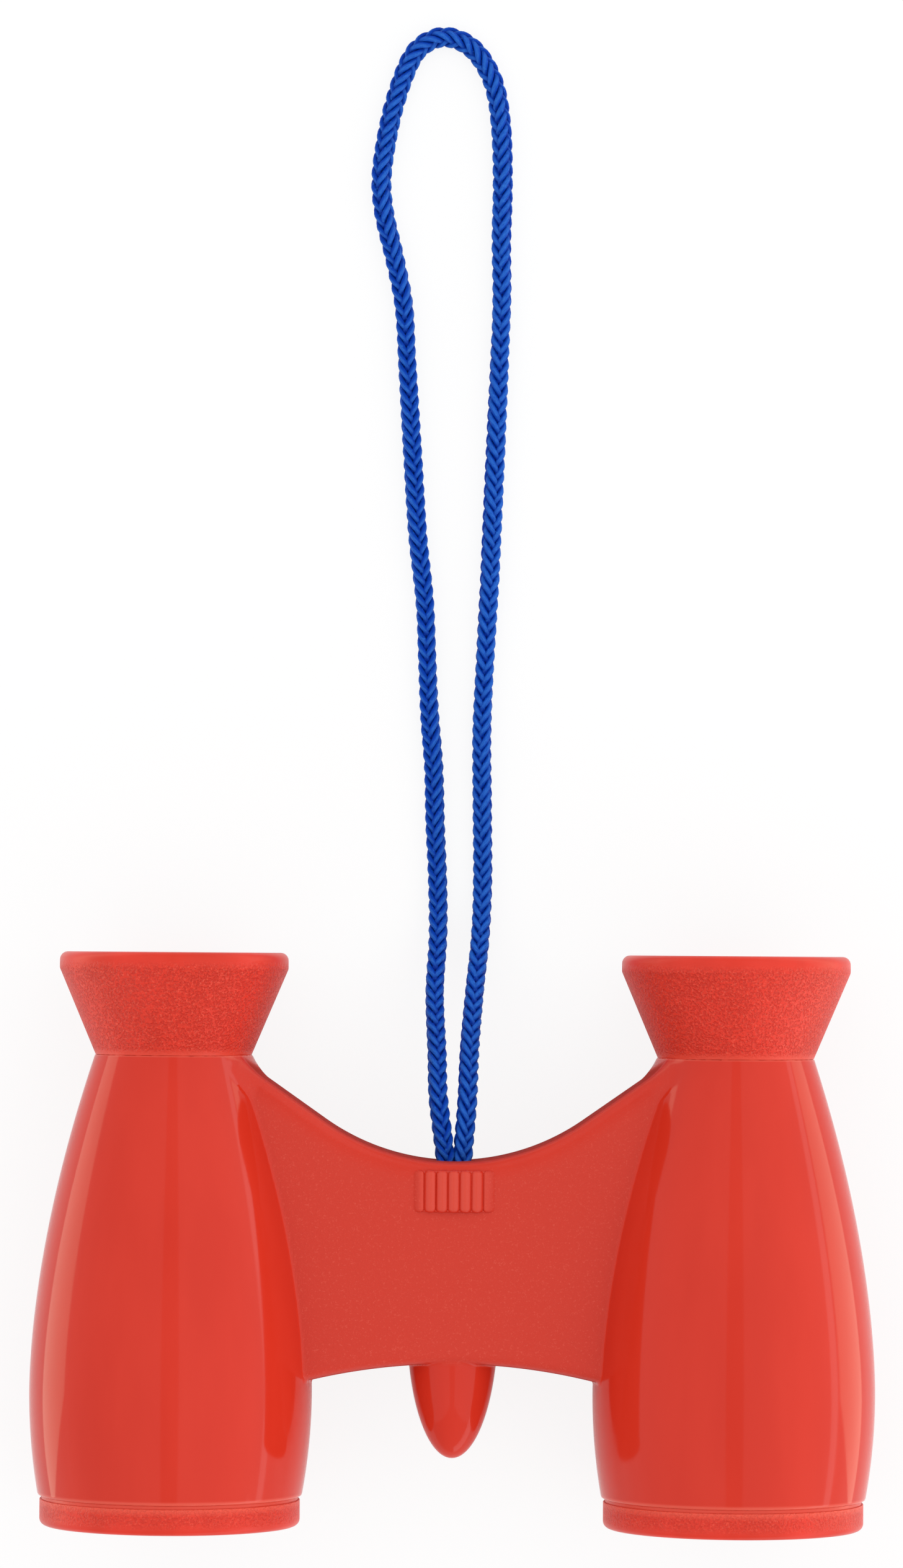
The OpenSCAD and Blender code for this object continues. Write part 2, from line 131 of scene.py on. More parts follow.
class PieceSizes(bpy.types.PropertyGroup):
    """Sizes of the pad, the eyecups, the rings, the screws and the cord."""

    pad_ribs: IntProperty(name="Pad ribs", description="Ribs of the imitation focus wheel", default=7)
    rib_pitch: length("Rib pitch", "Distance from rib to rib", 1.25)
    rib_depth: length("Rib depth", "Depth of the grooves between the ribs", 0.35)
    pad_len: length("Pad length", "Length of the ribs", 4.5)
    pad_rise: length("Pad rise", "Rise of the pad's crown above the bridge", 0.75)
    pad_y: length("Pad station", "Station of the pad's middle", 35.82)
    pad_w: length("Pad width", "Width of the pad across its ribs", 9.45)
    top_y: length("Eyecup top", "Station of the eyecup's rim", 60.95)
    rim_r: length("Rim radius", "Radius of the eyecup's rim", 12.2)
    rim_in_r: length("Rim bore", "Radius of the rim's inner edge", 10.2)
    rim_round: length("Rim rounding", "Rounding of the rim's outer edge", 1.6)
    rim_band: length("Rim band", "Straight band under that rounding", 0.15)
    spigot_r: length("Spigot radius", "Radius of the eyecup's spigot", 6.35)
    eyepiece_seat_r: length("Eyepiece seat", "Bore that holds the eyepiece lens", 5.35)
    eyepiece_edge: length("Eyepiece edge", "Thickness of the eyepiece lens", 2.2)
    throat_len: length("Throat", "Height of the eyecup's narrowest part", 0.8)
    ring_r: length("Ring radius", "Radius of an objective ring", 13.85)
    ring_len: length("Ring length", "Height of a ring in front of its groove", 2.8)
    ring_bore_r: length("Ring bore", "Bore of a ring", 11.3)
    ring_round: length("Ring rounding", "Rounding of the ring's front edge", 0.7)
    groove_depth: length("Groove depth", "Depth of the groove behind the ring", 0.22)
    ring_spigot_r: length("Ring spigot", "Radius of the ring's spigot", 12.5)
    ring_spigot_len: length("Ring spigot length", "Length of that spigot", 2.4)
    screw_x: length("Screw place", "Distance of a screw from the middle", 9.5)
    screw_y: length("Screw station", "Station of the screws", 28.2)
    screw_hole_r: length("Screw hole", "Radius of the hole around a screw's head", 2)
    screw_seat: length("Screw seat", "Depth of the head's seat in the underside", 1.6)
    boss_r: length("Boss radius", "Radius of the boss around a screw", 3)
    cord_d: length("Cord diameter", "Diameter of the cord", 2)
    cord_leg_x: length("Cord leg", "Distance of a leg from the middle where the cord comes out", 0.95)
    cord_pitch: length("Braid pitch", "Distance of the braid's rows", 1.37)
    knot_y: length("Knot station", "Station of the knot's flat side", 37.4)
    knot_d: length("Knot diameter", "Diameter of the knot", 5.6)


class Rest(bpy.types.PropertyGroup):
    """How the toy lies on the floor, and how it is seen."""

    tilt: angle("Tilt", "Slope of the barrels when the toy lies on the floor", 3.71513)
    lift: length("Lift", "Height of the barrel axes' origin above the floor", 16.0459)
    middle_y: length("Middle", "Station that lies over the row frame's origin", 30.3413)
    camera_place: FloatVectorProperty(
        name="Camera place",
        description="Where the camera stands",
        default=(-0.000738, 0.072572, 0.660334),
        unit="LENGTH",
    )
    camera_turn: FloatVectorProperty(
        name="Camera turn",
        description="How the camera is turned",
        default=(math.radians(-2.1128), 0, math.radians(0.4307)),
        subtype="EULER",
    )
    camera_lens: FloatProperty(
        name="Lens",
        description="Focal length in millimetres on a 36 mm sensor",
        default=139.57,
        unit="CAMERA",
    )


class Colours(bpy.types.PropertyGroup):
    """Colours of the toy and of the stage."""

    shell_red: colour("Shell red", "Glossy plastic of the body", 209, 51, 33)
    shell_deep: colour("Deep red", "The same plastic where it is a little deeper", 204, 47, 29)
    # Painted shade: the bridge's walls are coloured this darker red to stand for their shadow.
    shell_shade: colour("Wall red", "Dull walls along the bridge's edges", 170, 46, 36)
    grain_red: colour("Grain red", "Grained plastic of the bridge", 204, 56, 40)
    # Painted highlight: the tops of the spark grain, the barrels' ends and the pad's rib tops are made
    # paler.
    grain_highlight: colour("Grain sparks", "Tops of that grain and moulded edges", 228, 100, 82)
    cup_red: colour("Cup red", "Pebbled plastic of the eyecups and rings", 224, 56, 40)
    # Painted highlight on the pebbles' tops and on the eyecups' and rings' edges.
    cup_highlight: colour("Pebble tops", "Tops of the pebbles", 236, 96, 76)
    # Painted shade in the pits between the pebbles.
    cup_shade: colour("Pebble pits", "Pits between the pebbles", 184, 34, 26)
    lens_tint: colour("Lens tint", "Clear plastic of the lenses", 238, 246, 250)
    steel: colour("Screw steel", "Zinc-plated steel of the screws", 196, 198, 202)
    steel_dark: colour("Screw shade", "Steel in the plating's dull patches", 150, 152, 158)
    cord_blue: colour("Cord blue", "Yarn of the cord", 0, 60, 172)
    # Painted shade: the core between the strands and the strands where they sink.
    cord_shade: colour("Cord shade", "Yarn between the strands", 0, 40, 146)
    cord_pale: colour("Cord light", "Fibres that catch the light", 50, 120, 212)
    floor: colour("Floor", "The pale floor", 252, 252, 252)
    card_warm: colour("Card light", "Warm light of the cards beside the toy", 255, 250, 220)


class BinocularsSettings(bpy.types.PropertyGroup):
    """All the settings of the toy binoculars."""

    body: PointerProperty(type=BodySizes)
    pieces: PointerProperty(type=PieceSizes)
    rest: PointerProperty(type=Rest)
    colours: PointerProperty(type=Colours)


NOT_LENGTHS = ("pad_ribs", "rear_slant")  # among the settings of the body and the pieces


def settings():
    """The settings: body and pieces in millimetres, rest and colours as they are."""
    stored = bpy.context.scene.toy_binoculars

    def plain(part):
        values = {name: getattr(part, name) for name in part.__annotations__}
        return SimpleNamespace(**{
            name: value if name in NOT_LENGTHS else value * MM for name, value in values.items()
        })

    return SimpleNamespace(
        body=plain(stored.body), pieces=plain(stored.pieces), rest=stored.rest, colours=stored.colours
    )


# Meshing


def on_floor(points, rest, turn_only=False):
    """Points of the binoculars' own frame in millimetres, in the row frame in metres."""
    points = np.asarray(points, float)
    c, s = math.cos(rest.tilt), math.sin(rest.tilt)
    turned = np.stack(
        [points[:, 0], points[:, 1] * c + points[:, 2] * s, points[:, 2] * c - points[:, 1] * s], 1
    )
    if turn_only:
        return turned
    return turned / MM + (0, -rest.middle_y, rest.lift)


def add_piece(name, points, faces, material, replaces, normals=None, masks=None, uv=None):
    """A mesh in the row frame that rides on the toy and stands for the CAD nodes."""
    mesh = bpy.data.meshes.new(name)
    mesh.from_pydata(np.asarray(points).tolist(), [], [list(map(int, f)) for f in faces])
    for key, values in (masks or {}).items():
        mesh.attributes.new(key, "FLOAT", "POINT").data.foreach_set(
            "value", np.asarray(values, np.float32)
        )
    if uv is not None:
        corners = np.zeros(len(mesh.loops), np.int32)
        mesh.loops.foreach_get("vertex_index", corners)
        mesh.uv_layers.new(name="yarn").data.foreach_set(
            "uv", np.asarray(uv, np.float32)[corners].ravel()
        )
    mesh.shade_smooth()
    if normals is not None:
        mesh.normals_split_custom_set_from_vertices(np.asarray(normals).tolist())
    mesh.materials.append(material)
    piece = bpy.data.objects.new(name, mesh)
    bpy.context.scene.collection.objects.link(piece)
    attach(piece, "root")
    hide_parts(*replaces)
    return piece


def slope(field, points):
    """Gradient of a distance field."""
    reach = 1e-3
    parts = []
    for axis in range(3):
        step = np.zeros(3)
        step[axis] = reach
        parts.append((field(points + step) - field(points - step)) / (2 * reach))
    return np.stack(parts, 1)


def surface_net(field, lines):
    """Points and outward quads of the field's zero surface, on a grid of the given lines.
    A first line below zero makes that axis a mirror plane: its first layer is put on zero."""
    grid = np.stack(np.meshgrid(*lines, indexing="ij"), -1)
    value = field(grid.reshape(-1, 3)).reshape(grid.shape[:3])
    inside = value < 0
    corners = [(i, j, k) for i in (0, 1) for j in (0, 1) for k in (0, 1)]
    size = [n - 1 for n in inside.shape]

    def at(array, c):
        return array[c[0]:c[0] + size[0], c[1]:c[1] + size[1], c[2]:c[2] + size[2]]

    count = sum(at(inside, c).astype(np.int8) for c in corners)
    mixed = (count > 0) & (count < len(corners))
    index = np.full(mixed.shape, -1)
    index[mixed] = np.arange(mixed.sum())
    total, weight = np.zeros((mixed.sum(), 3)), np.zeros(mixed.sum())
    for a in corners:
        for axis in range(3):
            if a[axis]:
                continue
            b = tuple(1 if k == axis else a[k] for k in range(3))
            va, vb = at(value, a)[mixed], at(value, b)[mixed]
            cut = (va < 0) != (vb < 0)
            t = np.where(cut, va / np.where(cut, va - vb, 1), 0)[:, None]
            pa, pb = at(grid, a)[mixed], at(grid, b)[mixed]
            total += np.where(cut[:, None], pa + (pb - pa) * t, 0)
            weight += cut
    points = total / weight[:, None]
    cell = np.argwhere(mixed)
    fixed = np.stack(
        [(cell[:, a] == 0) & (lines[a][0] < 0 < lines[a][1]) for a in range(3)], 1
    )
    points[fixed] = 0
    pulls, least_slope, longest_pull = 8, 0.05, 0.25
    for _ in range(pulls):
        g = np.where(fixed, 0, slope(field, points))
        step = field(points) / np.maximum((g * g).sum(1), least_slope)
        points -= np.clip(step, -longest_pull, longest_pull)[:, None] * g
    faces = []
    for axis in range(3):
        order = (axis, (axis + 1) % 3, (axis + 2) % 3)
        signs, cells = inside.transpose(order), index.transpose(order)
        low, high = signs[:-1, 1:-1, 1:-1], signs[1:, 1:-1, 1:-1]
        ring = [cells[:, :-1, :-1], cells[:, 1:, :-1], cells[:, 1:, 1:], cells[:, :-1, 1:]]
        for within in (True, False):
            hit = (low == within) & (high != within)
            quads = np.stack([r[hit] for r in ring], 1)
            faces.append(quads if within else quads[:, ::-1])
    normals = np.where(fixed, 0, slope(field, points))
    normals /= np.maximum(np.linalg.norm(normals, axis=1), 1e-9)[:, None]
    return points, np.concatenate(faces), normals, fixed


def smooth_min(a, b, k):
    """The lesser of two distances, with a fillet of about k where they meet."""
    return np.minimum(a, b) - k / 4 * np.square(np.maximum(1 - np.abs(a - b) / k, 0))


def smooth_max(a, b, k):
    return -smooth_min(-a, -b, k)


def ease(low, high, x):
    """A smooth step from 0 at low to 1 at high, which may be the lesser of the two."""
    t = np.clip((x - low) / (high - low), 0, 1)
    return t * t * (3 - 2 * t)


def spaced(*stops):
    """Grid lines through (start, step), (start, step) ... (end,), a step for each stretch."""
    lines = []
    for (a, step), b in zip(stops[:-1], stops[1:]):
        n = max(1, round((b[0] - a) / step))
        lines.append(np.linspace(a, b[0], n, endpoint=False))
    return np.concatenate([*lines, [stops[-1][0]]])


def rounded(corners, steps=6):
    """A closed outline of (radius, station, rounding) as points of (radius, station)."""
    line = []
    longest, hold_most, hold_share, cut_share = 0.8, 0.04, 0.2, 0.49
    spots = np.array([c[:2] for c in corners], float)
    for i, (_, _, round_r) in enumerate(corners):
        here, before, after = spots[i], spots[i - 1], spots[(i + 1) % len(spots)]
        u, v = before - here, after - here
        lu, lv = np.linalg.norm(u), np.linalg.norm(v)
        u, v = u / lu, v / lv
        half = math.acos(max(-1, min(1, float(u @ v)))) / 2
        cut = min(round_r / math.tan(half), cut_share * lu, cut_share * lv)
        r = cut * math.tan(half)
        middle = here + (u + v) / np.linalg.norm(u + v) * r / math.sin(half)
        a, b = here + u * cut - middle, here + v * cut - middle
        sweep = math.pi - 2 * half
        hold = min(hold_most, hold_share * lu, hold_share * lv)
        line.append(here + u * (cut + hold))
        for k in range(steps + 1):
            t = k / steps
            swung = a * math.sin((1 - t) * sweep) + b * math.sin(t * sweep)
            line.append(middle + swung / math.sin(sweep))
        line.append(here + v * (cut + hold))
    line = np.array(line)
    gaps = np.linalg.norm(np.roll(line, -1, 0) - line, axis=1)
    return np.concatenate([
        a + (b - a) * np.linspace(0, 1, max(1, math.ceil(gap / longest)), endpoint=False)[:, None]
        for a, b, gap in zip(line, np.roll(line, -1, 0), gaps)
    ])


def lathe(line, axis_x, sides=160):
    """A closed outline of (radius, station) turned about the barrel's axis."""
    turn = np.arange(sides) * 2 * math.pi / sides
    n = len(line)
    points = np.stack([
        axis_x + np.outer(np.cos(turn), line[:, 0]),
        np.broadcast_to(line[:, 1], (sides, n)),
        np.outer(np.sin(turn), line[:, 0]),
    ], -1).reshape(-1, 3)
    i, k = np.meshgrid(np.arange(sides), np.arange(n), indexing="ij")
    i2, k2 = (i + 1) % sides, (k + 1) % n
    faces = np.stack([i * n + k, i2 * n + k, i2 * n + k2, i * n + k2], -1).reshape(-1, 4)
    area = np.sum(line[:, 0] * np.roll(line[:, 1], -1) - np.roll(line[:, 0], -1) * line[:, 1])
    return points, faces if area < 0 else faces[:, ::-1]


# Materials


def node(tree, kind, setup=None, **sockets):
    """A shader node. Sockets are set or linked by name, or by number as in_0, in_1."""
    made = tree.nodes.new("ShaderNode" + kind)
    for key, value in (setup or {}).items():
        setattr(made, key, value)
    for key, value in sockets.items():
        if key.startswith("in_"):
            socket = made.inputs[int(key[3:])]
        else:
            socket = made.inputs[key.replace("_", " ")]
        if isinstance(value, bpy.types.NodeSocket):
            tree.links.new(value, socket)
        else:
            socket.default_value = value
    return made


def maths(tree, operation, a, b=0.0):
    return node(tree, "Math", {"operation": operation}, in_0=a, in_1=b).outputs[0]


def times(tree, a, b):
    return maths(tree, "MULTIPLY", a, b)


def off_half(tree, value):
    """How far a value is from a half."""
    return maths(tree, "ABSOLUTE", maths(tree, "SUBTRACT", value, 0.5))


def ranged(tree, value, low, high, to_low=0.0, to_high=1.0):
    """A smooth step from one value to another, while the input goes from low to high."""
    return node(
        tree, "MapRange", {"interpolation_type": "SMOOTHSTEP"},
        in_0=value, in_1=low, in_2=high, in_3=to_low, in_4=to_high,
    ).outputs[0]


def mixed(tree, factor, a, b):
    return node(tree, "Mix", {"data_type": "RGBA"}, in_0=factor, in_6=a, in_7=b).outputs[2]


def between(tree, factor, a, b):
    return node(tree, "Mix", {"data_type": "FLOAT"}, in_0=factor, in_2=a, in_3=b).outputs[0]


def noise(tree, vector, scale, detail=2.0, roughness=0.5):
    return node(
        tree, "TexNoise", None, Vector=vector, Scale=scale, Detail=detail, Roughness=roughness
    ).outputs[0]


def stretched(tree, vector, scale, turn=(0.0, 0.0, 0.0)):
    return node(tree, "Mapping", None, Vector=vector, Scale=scale, Rotation=turn).outputs[0]


def object_place(tree):
    return node(tree, "TexCoord").outputs["Object"]


def bump(tree, height, distance):
    return node(tree, "Bump", None, Strength=1.0, Distance=distance, Height=height).outputs[0]


def mask(tree, name):
    """A mask that a piece carries on its points."""
    return node(tree, "Attribute", {"attribute_name": name}).outputs["Fac"]


def rgba(value):
    return (*value, 1.0)


COLOUR_SOCKETS = ("Colour", "Other")


def group(name, ins, outs, fill):
    """A shader node group. ins and outs list its sockets; fill(tree, inputs) gives its outputs."""
    tree = bpy.data.node_groups.new(name, "ShaderNodeTree")
    for labels, way in ((ins, "INPUT"), (outs, "OUTPUT")):
        for label in labels.split():
            kind = "NodeSocketColor" if label in COLOUR_SOCKETS else "NodeSocketFloat"
            tree.interface.new_socket(label, in_out=way, socket_type=kind)
    source, sink = tree.nodes.new("NodeGroupInput"), tree.nodes.new("NodeGroupOutput")
    for socket, value in zip(sink.inputs, fill(tree, source.outputs)):
        tree.links.new(value, socket)


def use(tree, name, **sockets):
    """A shared effect in a material. The first use builds the effects."""
    if name not in bpy.data.node_groups:
        build_groups()
    return node(tree, "Group", {"node_tree": bpy.data.node_groups[name]}, **sockets).outputs


def build_groups():
    """The effects that the materials share."""

    def drift(t, i):
        """Slow change between two colours, drawn out along the barrels as the plastic flowed."""
        cloud = noise(t, stretched(t, object_place(t), (1.0, 0.22, 1.0)), 170.0, 3.0)
        return [mixed(t, ranged(t, cloud, 0.3, 0.7), i["Colour"], i["Other"])]

    def handling(t, i):
        """Finger smudges and hairline scratches, as a change of roughness."""
        place = object_place(t)
        smudge = ranged(t, noise(t, place, 90.0, 4.0, 0.6), 0.5, 0.75)
        hair = noise(t, stretched(t, place, (1.0, 14.0, 1.0), (0.3, 0.2, 0.6)), 700.0, 1.0)
        hair = ranged(t, off_half(t, hair), 0.0, 0.012, 1.0, 0.0)
        rough = maths(t, "ADD", i["Roughness"], times(t, smudge, i["Smudge"]))
        return [maths(t, "ADD", rough, times(t, hair, i["Scratch"]))]

    def spark(t, i):
        """Fine spark-eroded grain: a height, and its highest tops, which the material paints paler as
        highlight.
        """
        place = object_place(t)
        fine = noise(t, place, 7000.0, 1.0, 0.6)
        coarse = noise(t, place, 3200.0, 2.0, 0.55)
        height = maths(t, "ADD", times(t, fine, 0.5), times(t, coarse, 0.5))
        return [height, ranged(t, height, 0.54, 0.68)]

    def pebble(t, i):
        """Leather-like grain: a height, its tops and the pits between them, for a painted highlight on
        the tops and painted shade in the pits.
        """
        place = object_place(t)
        coarse = noise(t, place, 3600.0, 2.0, 0.55)
        fine = noise(t, place, 5200.0, 1.0)
        height = maths(t, "ADD", times(t, fine, 0.4), ranged(t, coarse, 0.36, 0.56))
        return [height, ranged(t, fine, 0.55, 0.7), ranged(t, coarse, 0.34, 0.5, 1.0, 0.0)]

    def yarn(t, i):
        """Filaments along a strand of the cord, from its own coordinates, with a painted highlight along
        each strand's crest.
        """
        own = node(t, "UVMap", {"uv_map": "yarn"}).outputs[0]
        fibre = noise(t, stretched(t, own, (1.2, 9.0, 1.0), (0.0, 0.0, 0.06)), 3.0, 2.0, 0.6)
        round_it = node(t, "SeparateXYZ", None, Vector=own).outputs["Y"]
        crest = ranged(t, off_half(t, round_it), 0.03, 0.19, 1.0, 0.0)
        stray = ranged(t, noise(t, object_place(t), 2600.0, 1.0), 0.66, 0.72)
        return [fibre, times(t, ranged(t, fibre, 0.3, 0.62, 0.35, 1.0), crest), stray]

    def plating(t, i):
        """Dull and bright patches of zinc plating."""
        cloud = noise(t, object_place(t), 900.0, 4.0, 0.65)
        patches = mixed(t, ranged(t, cloud, 0.35, 0.65), i["Colour"], i["Other"])
        return [patches, ranged(t, cloud, 0.3, 0.7, 0.22, 0.42)]

    group("colour_drift", "Colour Other", "Colour", drift)
    group("handling", "Roughness Smudge Scratch", "Roughness", handling)
    group("spark_grain", "", "Height Tops", spark)
    group("pebble_grain", "", "Height Tops Pits", pebble)
    group("yarn", "", "Height Light Stray", yarn)
    group("plating", "Colour Other", "Colour Roughness", plating)


def material(name, **constants):
    """A material with one Principled shader, its constant sockets set."""
    made = bpy.data.materials.new(name)
    made.use_nodes = True
    tree = made.node_tree
    shader = tree.nodes["Principled BSDF"]
    for key, value in constants.items():
        shader.inputs[key.replace("_", " ")].default_value = value
    return made, tree, shader.inputs


def wire(tree, sockets, **values):
    """Link what varies over the surface to the shader's sockets."""
    for key, value in values.items():
        tree.links.new(value, sockets[key.replace("_", " ")])


def shared(name, build, colours):
    """A material that several operators use. The first of them builds it."""
    return bpy.data.materials.get(name) or build(colours)


def shell_material(c):
    """Glossy red plastic, with spark grain, rough walls painted darker as shade, and painted highlight on
    the grain's tops and on edges, where the piece's masks say.
    """
    made, t, s = material("shell_plastic", Specular_IOR_Level=0.22, IOR=1.5)
    grain, wall = mask(t, "grain"), mask(t, "wall")
    sparks = use(t, "spark_grain")
    gloss = use(t, "colour_drift", Colour=rgba(c.shell_red), Other=rgba(c.shell_deep))[0]
    # Painted highlight on the grain's tops.
    matt = mixed(t, times(t, sparks["Tops"], 0.3), rgba(c.grain_red), rgba(c.grain_highlight))
    # Painted shade on the bridge's walls.
    body = mixed(t, wall, mixed(t, grain, gloss, matt), rgba(c.shell_shade))
    worn = use(t, "handling", Roughness=0.08, Smudge=0.05, Scratch=0.04)[0]
    wire(
        t, s,
        # Painted highlight on the edges that the edge mask marks.
        Base_Color=mixed(t, times(t, mask(t, "edge"), 0.6), body, rgba(c.grain_highlight)),
        Roughness=maths(t, "MAXIMUM", between(t, grain, worn, 0.42), wall),
        Normal=bump(t, times(t, sparks["Height"], grain), 0.00006),
    )
    return made


def pebble_material(c):
    """Pebbled red plastic of the eyecups and rings, smooth on their rims, with painted highlight on the
    pebbles' tops and edges and painted shade in their pits.
    """
    made, t, s = material("pebble_plastic", Specular_IOR_Level=0.22, IOR=1.5)
    grain = mask(t, "grain")
    pebbles = use(t, "pebble_grain")
    base = use(t, "colour_drift", Colour=rgba(c.cup_red), Other=rgba(c.shell_red))[0]
    # Painted highlight on the pebbles' tops, painted shade in their pits.
    light = times(t, times(t, pebbles["Tops"], grain), 0.5)
    dark = times(t, times(t, pebbles["Pits"], grain), 0.45)
    base = mixed(t, dark, mixed(t, light, base, rgba(c.cup_highlight)), rgba(c.cup_shade))
    worn = use(t, "handling", Roughness=0.3, Smudge=0.06, Scratch=0.03)[0]
    wire(
        t, s,
        # Painted highlight on the edges that the edge mask marks.
        Base_Color=mixed(t, times(t, mask(t, "edge"), 0.6), base, rgba(c.cup_highlight)),
        Roughness=between(t, grain, worn, 0.38),
        Normal=bump(t, times(t, pebbles["Height"], grain), 0.00007),
    )
    return made


def cord_material(c):
    """Soft blue yarn, with painted highlight along the strands' crests and painted shade on the core and
    where strands sink.
    """
    made, t, s = material(
        "cord_yarn", Specular_IOR_Level=0.08, IOR=1.5,
        Sheen_Weight=0.02, Sheen_Roughness=0.4, Sheen_Tint=rgba(c.cord_pale),
    )
    yarn = use(t, "yarn")
    # Painted highlight along each strand's crest.
    base = mixed(t, times(t, yarn["Light"], 0.7), rgba(c.cord_blue), rgba(c.cord_pale))
    # Painted shade on the core and where strands sink, from the depth mask.
    base = mixed(t, mask(t, "depth"), rgba(c.cord_shade), base)
    wire(
        t, s,
        Base_Color=mixed(t, times(t, yarn["Stray"], 0.4), base, rgba(c.cord_pale)),
        Roughness=ranged(t, yarn["Height"], 0.3, 0.7, 0.5, 0.32),
        Normal=bump(t, yarn["Height"], 0.00008),
    )
    return made


def lens_material(c):
    """Clear moulded plastic, slightly handled."""
    made, t, s = material("lens_plastic", IOR=1.49, Transmission_Weight=1.0)
    wire(
        t, s,
        Base_Color=use(t, "colour_drift", Colour=rgba(c.lens_tint), Other=WHITE)[0],
        Roughness=use(t, "handling", Roughness=0.01, Smudge=0.03, Scratch=0.05)[0],
    )
    return made


def steel_material(c):
    """Zinc-plated steel."""
    made, t, s = material("plated_steel", Metallic=1.0)
    plate = use(t, "plating", Colour=rgba(c.steel), Other=rgba(c.steel_dark))
    wire(t, s, Base_Color=plate["Colour"], Roughness=plate["Roughness"])
    return made


def floor_material(c):
    """A pale floor that keeps the toy's shadow. The camera and the lenses see it almost white."""
    made, t, _ = material(
        "floor", Base_Color=rgba(c.floor), Roughness=0.9, Specular_IOR_Level=0.1
    )
    rays = node(t, "LightPath").outputs
    seen = maths(t, "MAXIMUM", rays["Is Camera Ray"], rays["Is Transmission Ray"])
    seen = maths(t, "MAXIMUM", seen, times(t, rays["Is Glossy Ray"], 0.2))
    white = node(t, "Emission", None, Color=WHITE, Strength=1.0).outputs[0]
    plain = t.nodes["Principled BSDF"].outputs[0]
    both = node(t, "MixShader", None, in_0=times(t, seen, 0.86), in_1=plain, in_2=white)
    t.links.new(both.outputs[0], t.nodes["Material Output"].inputs["Surface"])
    return made


# Shapes


# Small sizes of the body that follow no setting, in millimetres
NECK_GAP = 0.6  # from the end of the bridge to the end of a neck
PEG_TAIL = 4  # length of the peg behind its root
SLOT_DEPTH = 2.5  # of the cord slot, from the rear edge
BOSS_GAP = 0.5  # from the parting plane to a screw's boss
SHANK_GAP = 0.2  # from that plane to the hole for a screw's shank
SHANK_R = 1.2  # radius of that hole
FAR = 9  # beyond the reach of a mask


def barrel_radius(b, y):
    """Radius of a barrel at a station: an arch up to the swell, then a taper to the neck."""
    taper, past_neck = 1.75, 1.2
    front = b.swell_r - b.swell * np.square((b.swell_y - y) / (b.swell_y - b.front_y))
    run = np.clip((y - b.swell_y) / (b.neck_y - b.swell_y), 0, past_neck)
    return np.where(y < b.swell_y, front, b.swell_r - (b.swell_r - b.neck_r) * run**taper)


